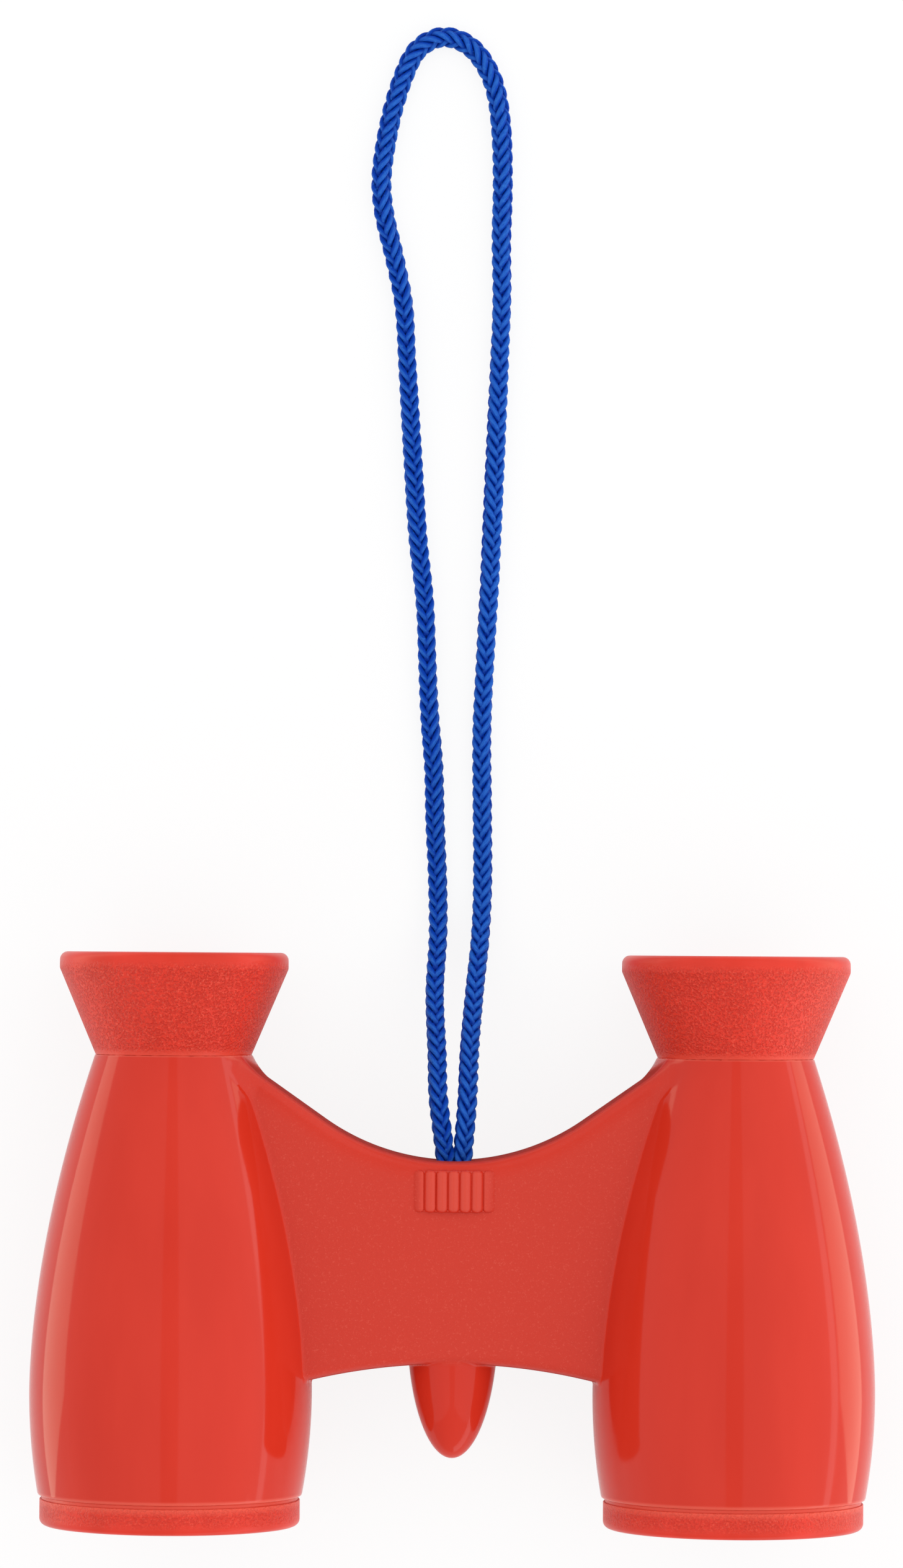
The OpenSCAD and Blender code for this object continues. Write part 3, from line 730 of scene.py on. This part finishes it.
def body_field(b, p, screws):
    """The distance field of the body, and the masks of its looks by name."""

    def barrel(x, y, z):
        r = np.hypot(x - b.eye_spacing / 2, z)
        reach = 0.01
        lean = (barrel_radius(b, y + reach) - barrel_radius(b, y - reach)) / (2 * reach)
        side = (r - barrel_radius(b, y)) / np.sqrt(1 + lean * lean)
        return smooth_max(smooth_max(side, b.front_y - y, b.edge_round), y - b.neck_y, b.edge_round / 3)

    def hollow(x, y, z):
        r = np.hypot(x - b.eye_spacing / 2, z)
        overlap = 1
        seat = np.maximum(r - b.seat_r, y - b.ledge_y)
        ledge = np.maximum(r - b.ledge_r, y - b.ledge_y - 2 * b.rib_len)
        room = np.maximum(
            r - barrel_radius(b, y) + b.barrel_wall,
            np.maximum(b.ledge_y + b.rib_len - y, y - b.stop_y),
        )
        throat = np.maximum(r - b.throat_r, b.stop_y - overlap - y)
        neck = np.maximum(r - b.neck_bore_r, b.spigot_y - y)
        return np.minimum.reduce([seat, ledge, room, throat, neck])

    def plan(x, y):
        arc_y = b.rear_y + b.rear_edge_r
        s, c = math.sin(b.rear_slant), math.cos(b.rear_slant)
        arc = b.rear_edge_r - np.hypot(x, arc_y - y)
        line = (y - arc_y + b.rear_edge_r * c) * c - (x - b.rear_edge_r * s) * s
        rear = np.where(np.arctan2(x, arc_y - y) < b.rear_slant, arc, line)
        front = b.front_edge_r - np.hypot(x, y - b.fore_y + b.front_edge_r)
        return np.maximum.reduce([rear, front, x - b.eye_spacing / 2, y - b.neck_y + NECK_GAP])

    def bridge(x, y, z):
        u, v = plan(x, y) + b.bridge_round, np.abs(z) - b.half_t + b.bridge_round
        corner = np.hypot(np.maximum(u, 0), np.maximum(v, 0))
        return np.minimum(np.maximum(u, v), 0) + corner - b.bridge_round

    def peg(x, y, z, inset=0.0):
        a, l = b.peg_r - inset, b.peg_len - inset
        q, h = x * x + z * z, np.square(np.minimum(y - b.peg_root_y, 0))
        e = np.sqrt(q / a**2 + h / l**2)
        d = e * (e - 1) / np.maximum(np.sqrt(q / a**4 + h / l**4), 1e-6)
        return np.maximum(d, y - b.peg_root_y - PEG_TAIL)

    def cavity(x, y, z):
        room = np.maximum(plan(x, y) + b.bridge_wall, np.abs(z) - b.half_t + b.bridge_wall)
        return np.minimum(room, peg(x, y, z, b.bridge_wall))

    def split(points):
        return np.abs(points[:, 0]), points[:, 1], points[:, 2]

    def whole(points):
        x, y, z = split(points)
        tube = barrel(x, y, z)
        fillet = b.fillet + (b.neck_fillet - b.fillet) * ease(b.neck_y - 5, b.neck_y - 2.5, y)
        tip = peg(x, y, z) + b.fillet * ease(b.fore_y - 0.3, b.fore_y + 1, y)
        solid = smooth_min(smooth_min(bridge(x, y, z), tip, b.fillet), tube, fillet)
        solid = np.maximum(solid, y - b.neck_y)
        room = smooth_max(cavity(x, y, z), -tube, 1.5)
        if screws:
            r = np.hypot(x - p.screw_x, y - p.screw_y)
            room = np.maximum(room, -np.maximum(r - p.boss_r, BOSS_GAP - np.abs(z)))
        solid = np.maximum(solid, -room)
        solid = np.maximum(solid, -hollow(x, y, z))
        slot = np.hypot(np.maximum(x - b.slot_leg_x, 0), z) - b.slot_r
        solid = smooth_max(solid, -np.maximum(slot, b.rear_y - SLOT_DEPTH - y), 0.3)
        if screws:
            bore = np.maximum(r - p.screw_hole_r, b.half_t - p.screw_seat - np.abs(z))
            bore = np.minimum(bore, np.maximum(r - SHANK_R, SHANK_GAP - np.abs(z)))
            solid = smooth_max(solid, -bore, 0.2)
        return solid

    def grain(points):
        """The bridge's upper and lower face, smoother along the rear edge and on the walls."""
        x, y, z = split(points)
        off = np.minimum(barrel(x, y, z), np.where(y < b.fore_y, peg(x, y, z), FAR))
        flat = 0.15 + 0.85 * ease(b.half_t - 0.7, b.half_t - 0.15, np.abs(z))
        margin = ease(-3, -0.8, plan(x, y)) * ease(b.rear_y - 6, b.rear_y - 3, y)
        return ease(0.03, 0.3, off) * flat * (1 - 0.7 * margin)

    def edge(points):
        """The barrels' ends at the eyecups and at the rings, painted paler as highlight."""
        y = points[:, 1]
        neck = 0.8 * ease(b.neck_y - 0.22, b.neck_y - 0.1, y)
        return np.maximum(neck, ease(b.front_y + 0.5, b.front_y + 0.2, y))

    def wall(points):
        """The bridge's walls, clear of the barrels and the peg, where the red is painted darker as shade.
        """
        x, y, z = split(points)
        off = np.minimum(barrel(x, y, z), peg(x, y, z))
        return ease(0.1, 0.6, off) * ease(b.half_t - 0.3, b.half_t - 1, np.abs(z))

    return whole, {"grain": grain, "edge": edge, "wall": wall}


def body_grid(b):
    """Grid lines for the half of a body half at positive x, closer where it curves more."""
    half_cell, slack = 0.15, 0.5
    inner_x, outer_x = 15.0, 25.5  # the bridge runs into a barrel between these
    tip_y = b.peg_root_y - b.peg_len
    xs = spaced(
        (half_cell, 0.25), (b.peg_r, 0.4), (inner_x, 0.25), (outer_x, 0.58),
        (b.eye_spacing / 2 + b.swell_r + slack,),
    )
    ys = spaced(
        (b.front_y - 0.3, 0.1), (b.front_y + 0.6, 0.5), (tip_y - 0.3, 0.25), (tip_y + 3, 0.5),
        (b.fore_y - 1.5, 0.3), (b.fore_y + 2, 0.5), (b.rear_y - 3, 0.32), (b.neck_y - 0.4, 0.1),
        (b.neck_y + 0.3,),
    )
    zs = spaced(
        (half_cell, 0.4), (b.half_t - 1.6, 0.22), (b.half_t + 1, 0.52), (b.swell_r + slack,)
    )
    return np.append(-half_cell, xs), ys, np.append(-half_cell, zs)


def mirrored(points, faces, normals, fixed):
    """Both sides of a body half from one, and which points lie on the parting plane."""
    n = len(points)
    other = np.where(fixed[:, 0], np.arange(n), np.arange(n) + n)
    points = np.concatenate([points, points * (-1, 1, 1)])
    normals = np.concatenate([normals, normals * (-1, 1, 1)])
    faces = np.concatenate([faces, other[faces][:, ::-1]])
    on_plane = np.concatenate([fixed[:, 2], fixed[:, 2]])
    used = np.unique(faces)
    place = np.full(2 * n, -1)
    place[used] = np.arange(len(used))
    return points[used], place[faces], normals[used], on_plane[used]


def closed(points, faces, normals, on_plane, lip, field):
    """A body half closed along the parting plane, by a small chamfer and a flat face."""
    edges = np.stack([faces, np.roll(faces, -1, 1)], -1).reshape(-1, 2)
    edges = edges[on_plane[edges].all(1)]
    pairs = {tuple(e) for e in edges.tolist()}
    after = {a: c for a, c in pairs if (c, a) not in pairs}
    rim = np.array(sorted(after))
    low = np.arange(len(rim)) + len(points)
    lower = dict(zip(rim.tolist(), low.tolist()))
    sunk = points[rim] - normals[rim] * lip
    sunk[:, 2] = 0
    points[rim, 2] = lip
    points = np.concatenate([points, sunk])
    normals = np.concatenate([normals, np.tile((0.0, 0.0, -1.0), (len(rim), 1))])
    strip = [(c, a, lower[a], lower[c]) for a, c in after.items()]
    loops, left = [], set(after)
    while left:
        here = min(left)
        loop = []
        while here in left:
            left.discard(here)
            loop.append(lower[here])
            here = after[here]
        loops.append(loop)
    flat = [i for loop in loops for i in loop]
    spot = {i: n for n, i in enumerate(flat)}
    bounds = [(spot[i], spot[j]) for loop in loops for i, j in zip(loop, loop[1:] + loop[:1])]
    found = delaunay_2d_cdt([Vector(points[i][:2]) for i in flat], bounds, [], 0, 1e-6)
    source = [flat[n[0]] for n in found[3]]
    cap = np.array([[source[i] for i in tri] for tri in found[2]])
    just_above = points[cap].mean(1) + (0, 0, 0.01)
    cap = cap[field(just_above) < 0]
    u, v = points[cap[:, 1]] - points[cap[:, 0]], points[cap[:, 2]] - points[cap[:, 0]]
    up = u[:, 0] * v[:, 1] - u[:, 1] * v[:, 0] > 0
    cap[up] = cap[up][:, ::-1]
    return points, [*faces.tolist(), *strip, *cap.tolist()], normals


def body_half(b, p, upper):
    """Points, faces, normals and masks of one half of the body, in the toy's own frame."""
    whole, looks = body_field(b, p, not upper)
    points, faces, normals, on_plane = mirrored(*surface_net(whole, body_grid(b)))
    points, faces, normals = closed(points, faces, normals, on_plane, b.lip, whole)
    masks = {name: look(points) for name, look in looks.items()}
    if not upper:
        points, normals = points * (1, 1, -1), normals * (1, 1, -1)
        faces = [f[::-1] for f in faces]
    return points, faces, normals, masks


def pad_field(p, half_t):
    """Distance field of the ribbed pad: round-topped ribs on a low crowned block, whose ends fade
    into the bridge. Also half its width."""
    half_w, half_l, step = p.pad_w / 2, p.pad_len / 2, 0.25
    crown_r = half_w**2 / (2 * (p.pad_rise - step))
    crown_z = half_t + p.pad_rise - crown_r
    last = (p.pad_ribs - 1) / 2
    rib_h = p.rib_depth + 0.1
    rib_half_w = p.rib_pitch * 0.52
    left_fade, right_fade, end_spread = 0.3, 0.22, 0.78

    def field(points):
        x, y, z = points[:, 0], points[:, 1] - p.pad_y, points[:, 2]
        fade = np.where(x < 0, left_fade, right_fade) * ease(half_w - 1.7, half_w - 0.1, np.abs(x))
        crown = np.hypot(x, z - crown_z) - crown_r + fade
        middle = np.clip(np.round(x / p.rib_pitch), -last, last) * p.rib_pitch
        over = np.maximum(np.abs(x) - last * p.rib_pitch, 0) * end_spread
        u = np.where(over > 0, over, x - middle) / rib_half_w
        rib = (np.hypot(u, np.maximum(crown + rib_h, 0) / rib_h) - 1) * rib_h
        solid = np.minimum(rib, crown + p.rib_depth)
        solid = smooth_max(solid, np.abs(y) - half_l, 0.5)
        solid = smooth_max(solid, np.abs(x) - half_w, 0.3)
        return np.maximum(solid, half_t - 0.5 - z)

    return field, half_w


def eyecup_line(b, p):
    """The eyecup's outline."""
    crisp, foot_gap = 0.1, 0.02
    cone_y = p.top_y - p.rim_round - p.rim_band
    foot_y = b.neck_y - foot_gap
    seat_y = b.spigot_y + p.eyepiece_edge
    return rounded([
        (p.eyepiece_seat_r, b.spigot_y, crisp),
        (p.eyepiece_seat_r, seat_y, crisp),
        (b.throat_r, seat_y, crisp),
        (b.throat_r, seat_y + p.throat_len, 0.3),
        (p.rim_in_r, p.top_y, 0.5),
        (p.rim_r, p.top_y, p.rim_round),
        (p.rim_r, cone_y, 0.7),
        (b.neck_r - 0.03, foot_y, foot_gap),
        (p.spigot_r, foot_y, crisp),
        (p.spigot_r, b.spigot_y, crisp),
    ])


def ring_line(b, p):
    """The objective ring's outline."""
    crisp, sharp = 0.1, 0.05
    foot = p.ring_r - p.groove_depth
    lens_y = b.front_y + p.ring_spigot_len
    return rounded([
        (p.ring_bore_r, lens_y, crisp),
        (p.ring_bore_r, 0, 0.4),
        (p.ring_r, 0, p.ring_round),
        (p.ring_r, p.ring_len, 0.24),
        (foot, p.ring_len, sharp),
        (foot, b.front_y, sharp),
        (p.ring_spigot_r, b.front_y, sharp),
        (p.ring_spigot_r, lens_y, crisp),
    ])


CORD_ROUTE = (
    (-1.7, 15, 12.4), (-1.9, 20, 9.6), (-2.2, 26, 5.6), (-1.9, 32, 2.4), (-2, 38, 1.1),
    (-2.3, 44, 1), (-2.5, 50, 1), (-3, 56, 1), (-3.3, 62, 1), (-3.6, 68, 1), (-4.4, 75, 1),
    (-4.9, 82, 1), (-5.3, 88, 1), (-5.7, 94, 1), (-6.1, 100, 1), (-7.1, 105, 1), (-8.3, 110, 1),
    (-8.6, 114, 1), (-7.9, 119, 1), (-6.9, 123, 1), (-5.5, 126.6, 1), (-4, 128.3, 1), (-1.9, 129, 1),
    (0.4, 128.3, 1), (2.2, 126.5, 1), (3.6, 123.5, 1), (4.3, 119, 1), (4.5, 113, 1), (4.4, 107, 1),
    (4.5, 101, 1), (4.3, 94, 1), (4, 86, 1), (3.7, 78, 1), (3.4, 70, 1), (3, 62, 1), (2.7, 54, 1),
    (2.8, 46, 1), (2.9, 38, 1.1), (2.7, 32, 2.4), (2.1, 26, 5.6), (1.6, 20, 9.6), (1.4, 15, 12.4),
)  # millimetres, in the row frame, as the photo shows the cord from above


def curve_through(points, step):
    """Evenly spaced points on a Catmull-Rom curve through the points."""
    points = np.asarray(points, float)
    ends = np.concatenate([[2 * points[0] - points[1]], points, [2 * points[-1] - points[-2]]])
    t = np.linspace(0, 1, 24, endpoint=False)[:, None]
    line = []
    for a, b, c, d in zip(ends, ends[1:], ends[2:], ends[3:]):
        square, cube = 2 * a - 5 * b + 4 * c - d, 3 * b - a - 3 * c + d
        line.append(0.5 * (2 * b + (c - a) * t + square * t**2 + cube * t**3))
    line = np.concatenate([*line, points[-1:]])
    run = np.concatenate([[0], np.cumsum(np.linalg.norm(np.diff(line, axis=0), axis=1))])
    count = max(8, round(run[-1] / step))
    even = np.linspace(0, run[-1], count + 1)
    return np.stack([np.interp(even, run, line[:, k]) for k in range(3)], 1)


def braid(line, radius, pitch, strands=6, sides=8):
    """A braid of strands that run both ways around a core, in four columns of chevrons:
    points, faces, coordinates and depth, which the material turns into painted shade on the core
    and where strands sink. Its columns wander a little and turn once by a quarter along the line,
    so that both legs of the loop show their chevrons pointing to the toy."""
    orbit, weave = 0.66, 0.17  # a strand's way around, and in and out, in radii of the cord
    thick, swell, core_r = 0.26, 0.06, 0.56  # of a strand and of the core, in the same radii
    wide, high, lean = 1.05, 0.9, 0.3  # a strand's section
    count = len(line)
    run = np.concatenate([[0], np.cumsum(np.linalg.norm(np.diff(line, axis=0), axis=1))])
    along = np.gradient(line, axis=0)
    along /= np.linalg.norm(along, axis=1)[:, None]
    side = np.zeros((count, 3))
    start = np.cross(along[0], (0.0, 0.0, 1.0))
    side[0] = start / np.linalg.norm(start)
    for i in range(1, count):
        moved = side[i - 1] - along[i] * (side[i - 1] @ along[i])
        side[i] = moved / np.linalg.norm(moved)
    over = np.cross(side, along)
    ring = np.arange(sides) * 2 * math.pi / sides - math.pi / 2
    wander = 0.28 * np.sin(0.09 * run + 1)
    roll = math.pi / 4 - math.pi / 2 * ease(0.35, 0.65, run / run[-1]) + wander
    points, faces, uv, depth = [], [], [], []

    def tube(centre, across, out, half_w, half_h, shade, turn):
        base = sum(len(q) for q in points)
        shape = (
            centre[:, None]
            + np.outer(half_w, np.cos(ring))[:, :, None] * across[:, None]
            + np.outer(half_h, np.sin(ring))[:, :, None] * out[:, None]
        )
        points.append(shape.reshape(-1, 3))
        n = len(centre)
        i, k = np.meshgrid(np.arange(n - 1), np.arange(sides), indexing="ij")
        k2 = (k + 1) % sides
        quads = np.stack([i * sides + k, i * sides + k2, (i + 1) * sides + k2, (i + 1) * sides + k], -1)
        faces.extend((quads.reshape(-1, 4) + base).tolist())
        faces.append([base + k for k in reversed(range(sides))])
        faces.append([base + (n - 1) * sides + k for k in range(sides)])
        u, v = np.meshgrid(run / pitch + turn, np.arange(sides) / sides, indexing="ij")
        uv.append(np.stack([u, v], -1).reshape(-1, 2))
        depth.append(np.repeat(shade, sides))

    for way in (1, -1):
        for strand in range(strands):
            turn = (way * run / pitch + strand) * 2 * math.pi / strands
            turn = turn + 0.04 * np.sin(run * 0.83 + 2.1 * strand + way)
            turn = turn + 0.02 * np.sin(run * 2.9 + strand)
            lift = way * np.cos(2 * (turn + roll))
            out = np.cos(turn)[:, None] * side + np.sin(turn)[:, None] * over
            centre = line + out * (radius * (orbit + weave * lift))[:, None]
            run_along = np.gradient(centre, axis=0)
            run_along /= np.linalg.norm(run_along, axis=1)[:, None]
            across = np.cross(run_along, out)
            across /= np.linalg.norm(across, axis=1)[:, None]
            out = np.cross(across, run_along)
            across, out = across + way * lean * out, out - way * lean * across
            plump = radius * (thick + swell * lift)
            # Painted shade: a strand is coloured darker where its lift takes it under the others.
            shade, shift = ease(-0.6, 0.7, lift), 2.3 * strand + way
            tube(centre, across, out, wide * plump, high * plump, shade, shift)
    # The core carries no lift, so it is coloured in full painted shade.
    core = np.full(count, core_r * radius)
    tube(line, side, over, core, core, np.zeros(count), 0.0)
    return np.concatenate(points), faces, np.concatenate(uv), np.concatenate(depth)


def knot_line(p, strand_r):
    """The middle line of the knot, a trefoil that fits into the knot's ball."""
    t = np.linspace(0, 2 * math.pi, 200)
    size = (p.knot_d / 2 - strand_r) / 3
    return np.stack([
        (np.sin(t) + 2 * np.sin(2 * t)) * size,
        p.knot_y - size - strand_r + np.sin(3 * t) * size,
        (np.cos(t) - 2 * np.cos(2 * t)) * size,
    ], 1)


# Operators


class BuildCamera(bpy.types.Operator):
    """Put the camera where the photo was taken"""

    bl_idname = "toy_binoculars.camera"
    bl_label = "Camera"

    def execute(self, context):
        rest = settings().rest
        camera = bpy.data.cameras.new("photo_camera")
        camera.sensor_width = 36
        camera.lens = rest.camera_lens
        camera.clip_start, camera.clip_end = 0.05, 20
        holder = bpy.data.objects.new("photo_camera", camera)
        holder.location, holder.rotation_euler = rest.camera_place, rest.camera_turn
        context.scene.collection.objects.link(holder)
        context.scene.camera = holder
        return {"FINISHED"}


class BuildCord(bpy.types.Operator):
    """Braid the neck cord and tie its knot inside the bridge"""

    bl_idname = "toy_binoculars.cord"
    bl_label = "Neck cord and knot"

    def execute(self, context):
        s = settings()
        b, p = s.body, s.pieces
        blue = cord_material(s.colours)
        legs = {
            side: on_floor([(side * p.cord_leg_x, y, 0) for y in (p.knot_y, b.rear_y + 0.6)], s.rest) * MM
            for side in (-1, 1)
        }
        line = curve_through([*legs[-1], *CORD_ROUTE, *legs[1][::-1]], p.cord_pitch / 5)
        points, faces, uv, depth = braid(line, p.cord_d / 2, p.cord_pitch)
        cord = add_piece(
            "neck_cord_braid", points / MM, faces, blue, ["neck_cord"],
            uv=uv, masks={"depth": depth},
        )
        pulled_r = 0.4 * p.cord_d
        points, faces, uv, depth = braid(knot_line(p, pulled_r), pulled_r, p.cord_pitch)
        knot = add_piece(
            "cord_knot_tied", on_floor(points, s.rest), faces, blue, ["cord_knot"],
            uv=uv, masks={"depth": depth},
        )
        return {"FINISHED"}


class BuildBody(bpy.types.Operator):
    """Mould the two halves of the body: barrels, bridge and peg"""

    bl_idname = "toy_binoculars.body"
    bl_label = "Body halves"

    def execute(self, context):
        s = settings()
        red = shared("shell_plastic", shell_material, s.colours)
        for name, upper in (("upper_body", True), ("lower_body", False)):
            points, faces, normals, masks = body_half(s.body, s.pieces, upper)
            add_piece(
                name, on_floor(points, s.rest), faces, red, [name + "_shell"],
                normals=on_floor(normals, s.rest, True), masks=masks,
            )
        return {"FINISHED"}


class BuildPad(bpy.types.Operator):
    """Mould the ribbed pad of the imitation focus wheel"""

    bl_idname = "toy_binoculars.pad"
    bl_label = "Ribbed pad"

    def execute(self, context):
        s = settings()
        p, top = s.pieces, s.body.half_t
        red = shared("shell_plastic", shell_material, s.colours)
        field, half_w = pad_field(p, top)
        lines = (
            np.arange(-half_w - 0.3, half_w + 0.31, 0.07),
            np.arange(p.pad_y - p.pad_len / 2 - 0.3, p.pad_y + p.pad_len / 2 + 0.31, 0.13),
            np.arange(top - 0.7, top + p.pad_rise + 0.3, 0.075),
        )
        points, faces, normals, _ = surface_net(field, lines)
        ends = ease(half_w - 1.7, half_w - 0.8, np.abs(points[:, 0]))
        # Painted highlight on the rib tops that face up, through the edge mask.
        tops = (0.5 - 0.4 * ends) * ease(0.6, 0.95, normals[:, 2])
        add_piece(
            "focus_pad", on_floor(points, s.rest), faces, red, ["upper_body_shell"],
            normals=on_floor(normals, s.rest, True), masks={"grain": 0.25 + 0.75 * ends, "edge": tops},
        )
        return {"FINISHED"}


def add_turned(s, kind, line, masks):
    """A left and a right turned piece. masks(y, r) gives the masks from station and radius."""
    red = shared("pebble_plastic", pebble_material, s.colours)
    for side, name in ((-1, "left_" + kind), (1, "right_" + kind)):
        axis_x = side * s.body.eye_spacing / 2
        points, faces = lathe(line, axis_x)
        r = np.hypot(points[:, 0] - axis_x, points[:, 2])
        add_piece(
            name + "_turned", on_floor(points, s.rest), faces, red, [name],
            masks=masks(points[:, 1], r),
        )


class BuildEyecups(bpy.types.Operator):
    """Turn the two flared eyecups"""

    bl_idname = "toy_binoculars.eyecups"
    bl_label = "Eyecups"

    def execute(self, context):
        s = settings()
        b, p = s.body, s.pieces
        rim = p.top_y - p.rim_round

        def masks(y, r):
            grain = ease(rim + 0.7, rim - 0.3, y) * ease(b.neck_y, b.neck_y + 0.4, y)
            # The edge mask paints a highlight on the eyecup's foot at the seam.
            return {"grain": grain, "edge": 0.7 * ease(b.neck_y + 0.2, b.neck_y + 0.05, y)}

        add_turned(s, "eyecup", eyecup_line(b, p), masks)
        return {"FINISHED"}


class BuildRings(bpy.types.Operator):
    """Turn the two objective rings"""

    bl_idname = "toy_binoculars.rings"
    bl_label = "Objective rings"

    def execute(self, context):
        s = settings()
        b, p = s.body, s.pieces

        def masks(y, r):
            grain = 0.7 * ease(p.ring_round - 0.1, p.ring_round + 0.2, y) * (r > p.ring_r - 0.15)
            # The edge mask paints a highlight along the ring's rear edge at the groove.
            return {"grain": grain, "edge": ease(p.ring_len - 0.3, p.ring_len - 0.12, y)}

        add_turned(s, "objective_ring", ring_line(b, p), masks)
        return {"FINISHED"}


def finish_nodes(names, finish):
    """Give CAD nodes that stay in view their material and slot."""
    for name in names:
        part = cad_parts[name]
        part.data.materials.clear()
        part.data.materials.append(finish)


class BuildLenses(bpy.types.Operator):
    """Finish the four CAD lenses in clear plastic"""

    bl_idname = "toy_binoculars.lenses"
    bl_label = "Lenses"

    def execute(self, context):
        kinds = ("objective", "eyepiece")
        names = [f"{side}_{kind}_lens" for side in ("left", "right") for kind in kinds]
        finish_nodes(names, lens_material(settings().colours))
        return {"FINISHED"}


class BuildScrews(bpy.types.Operator):
    """Finish the CAD screws in plated steel"""

    bl_idname = "toy_binoculars.screws"
    bl_label = "Screws"

    def execute(self, context):
        finish_nodes(["body_screws"], steel_material(settings().colours))
        return {"FINISHED"}


def hang_light(name, place, turn, size, power):
    """A soft rectangular light."""
    light = bpy.data.lights.new(name, "AREA")
    light.shape, light.size, light.size_y, light.energy = "RECTANGLE", *size, power
    lamp = bpy.data.objects.new(name, light)
    lamp.location, lamp.rotation_euler = place, turn
    bpy.context.scene.collection.objects.link(lamp)
    return lamp


def lay_floor(c):
    """A wide pale floor under the toy."""
    mesh = bpy.data.meshes.new("floor")
    half = 3.0
    corners = [(-half, -half, 0), (half, -half, 0), (half, half, 0), (-half, half, 0)]
    mesh.from_pydata(corners, [], [(0, 1, 2, 3)])
    mesh.materials.append(floor_material(c))
    floor = bpy.data.objects.new("floor", mesh)
    bpy.context.scene.collection.objects.link(floor)


def hang_lights(c):
    """Softboxes and strips, turned to the middle of the floor or behind it, and two cards on it."""
    for name, place, size, power in (
        ("softbox_left", (-0.56, 0.4, 0.49), (1.9, 1.33), 3.8),
        ("softbox_right", (0.56, 0.4, 0.49), (1.9, 1.33), 4.2),
        ("strip_right", (0.8, 0.06, 0.06), (0.9, 0.1), 0.35),
        ("strip_front", (0.5, -0.68, 0.15), (1.0, 0.28), 1.3),
    ):
        aim = Vector((0, max(place[1], 0), 0)) - Vector(place)
        hang_light(name, place, aim.to_track_quat("-Z", "Y").to_euler(), size, power)
    face_up = (math.pi, 0.0, 0.0)
    for name, side in (("card_left", -1), ("card_right", 1)):
        card = hang_light(name, (side * 0.242, 0.13, 0.002), face_up, (0.34, 0.34), 0.64)
        card.data.color = c.card_warm
        # A card shows in reflections and through the lenses alone.
        card.visible_camera = card.visible_diffuse = False


def studio_world():
    """A pale studio, brighter on the right, and white to the camera."""
    world = bpy.data.worlds.new("studio")
    world.use_nodes = True
    tree = world.node_tree
    place = node(tree, "TexCoord").outputs["Generated"]
    across = node(tree, "SeparateXYZ", None, Vector=place).outputs["X"]
    level = ranged(tree, across, -1.0, 1.0, 0.6, 0.83)
    seen = node(tree, "LightPath").outputs["Is Camera Ray"]
    sky = tree.nodes["Background"].inputs
    sky["Color"].default_value = WHITE
    tree.links.new(maths(tree, "MAXIMUM", level, seen), sky["Strength"])
    return world


class BuildStage(bpy.types.Operator):
    """Lay the pale floor and hang the studio lights"""

    bl_idname = "toy_binoculars.stage"
    bl_label = "Stage"

    def execute(self, context):
        c = settings().colours
        lay_floor(c)
        hang_lights(c)
        context.scene.world = studio_world()
        context.scene.view_settings.view_transform = "Standard"
        return {"FINISHED"}


class BinocularsPanel(bpy.types.Panel):
    """The steps of the toy binoculars, in order"""

    bl_idname = "VIEW3D_PT_toy_binoculars"
    bl_label = "Toy binoculars"
    bl_space_type = "VIEW_3D"
    bl_region_type = "UI"
    bl_category = "Binoculars"

    def draw(self, context):
        for step in STEPS:
            self.layout.operator(step.bl_idname)


STEPS = (
    BuildCamera, BuildCord, BuildBody, BuildPad, BuildEyecups, BuildRings,
    BuildLenses, BuildScrews, BuildStage,
)
CLASSES = (BodySizes, PieceSizes, Rest, Colours, BinocularsSettings, *STEPS, BinocularsPanel)


def register():
    for each in CLASSES:
        bpy.utils.register_class(each)
    bpy.types.Scene.toy_binoculars = PointerProperty(type=BinocularsSettings)


def unregister():
    del bpy.types.Scene.toy_binoculars
    for each in reversed(CLASSES):
        bpy.utils.unregister_class(each)


def main():
    register()
    for step in STEPS:
        space, name = step.bl_idname.split(".")
        getattr(getattr(bpy.ops, space), name)()


if __name__ == "__main__":
    main()
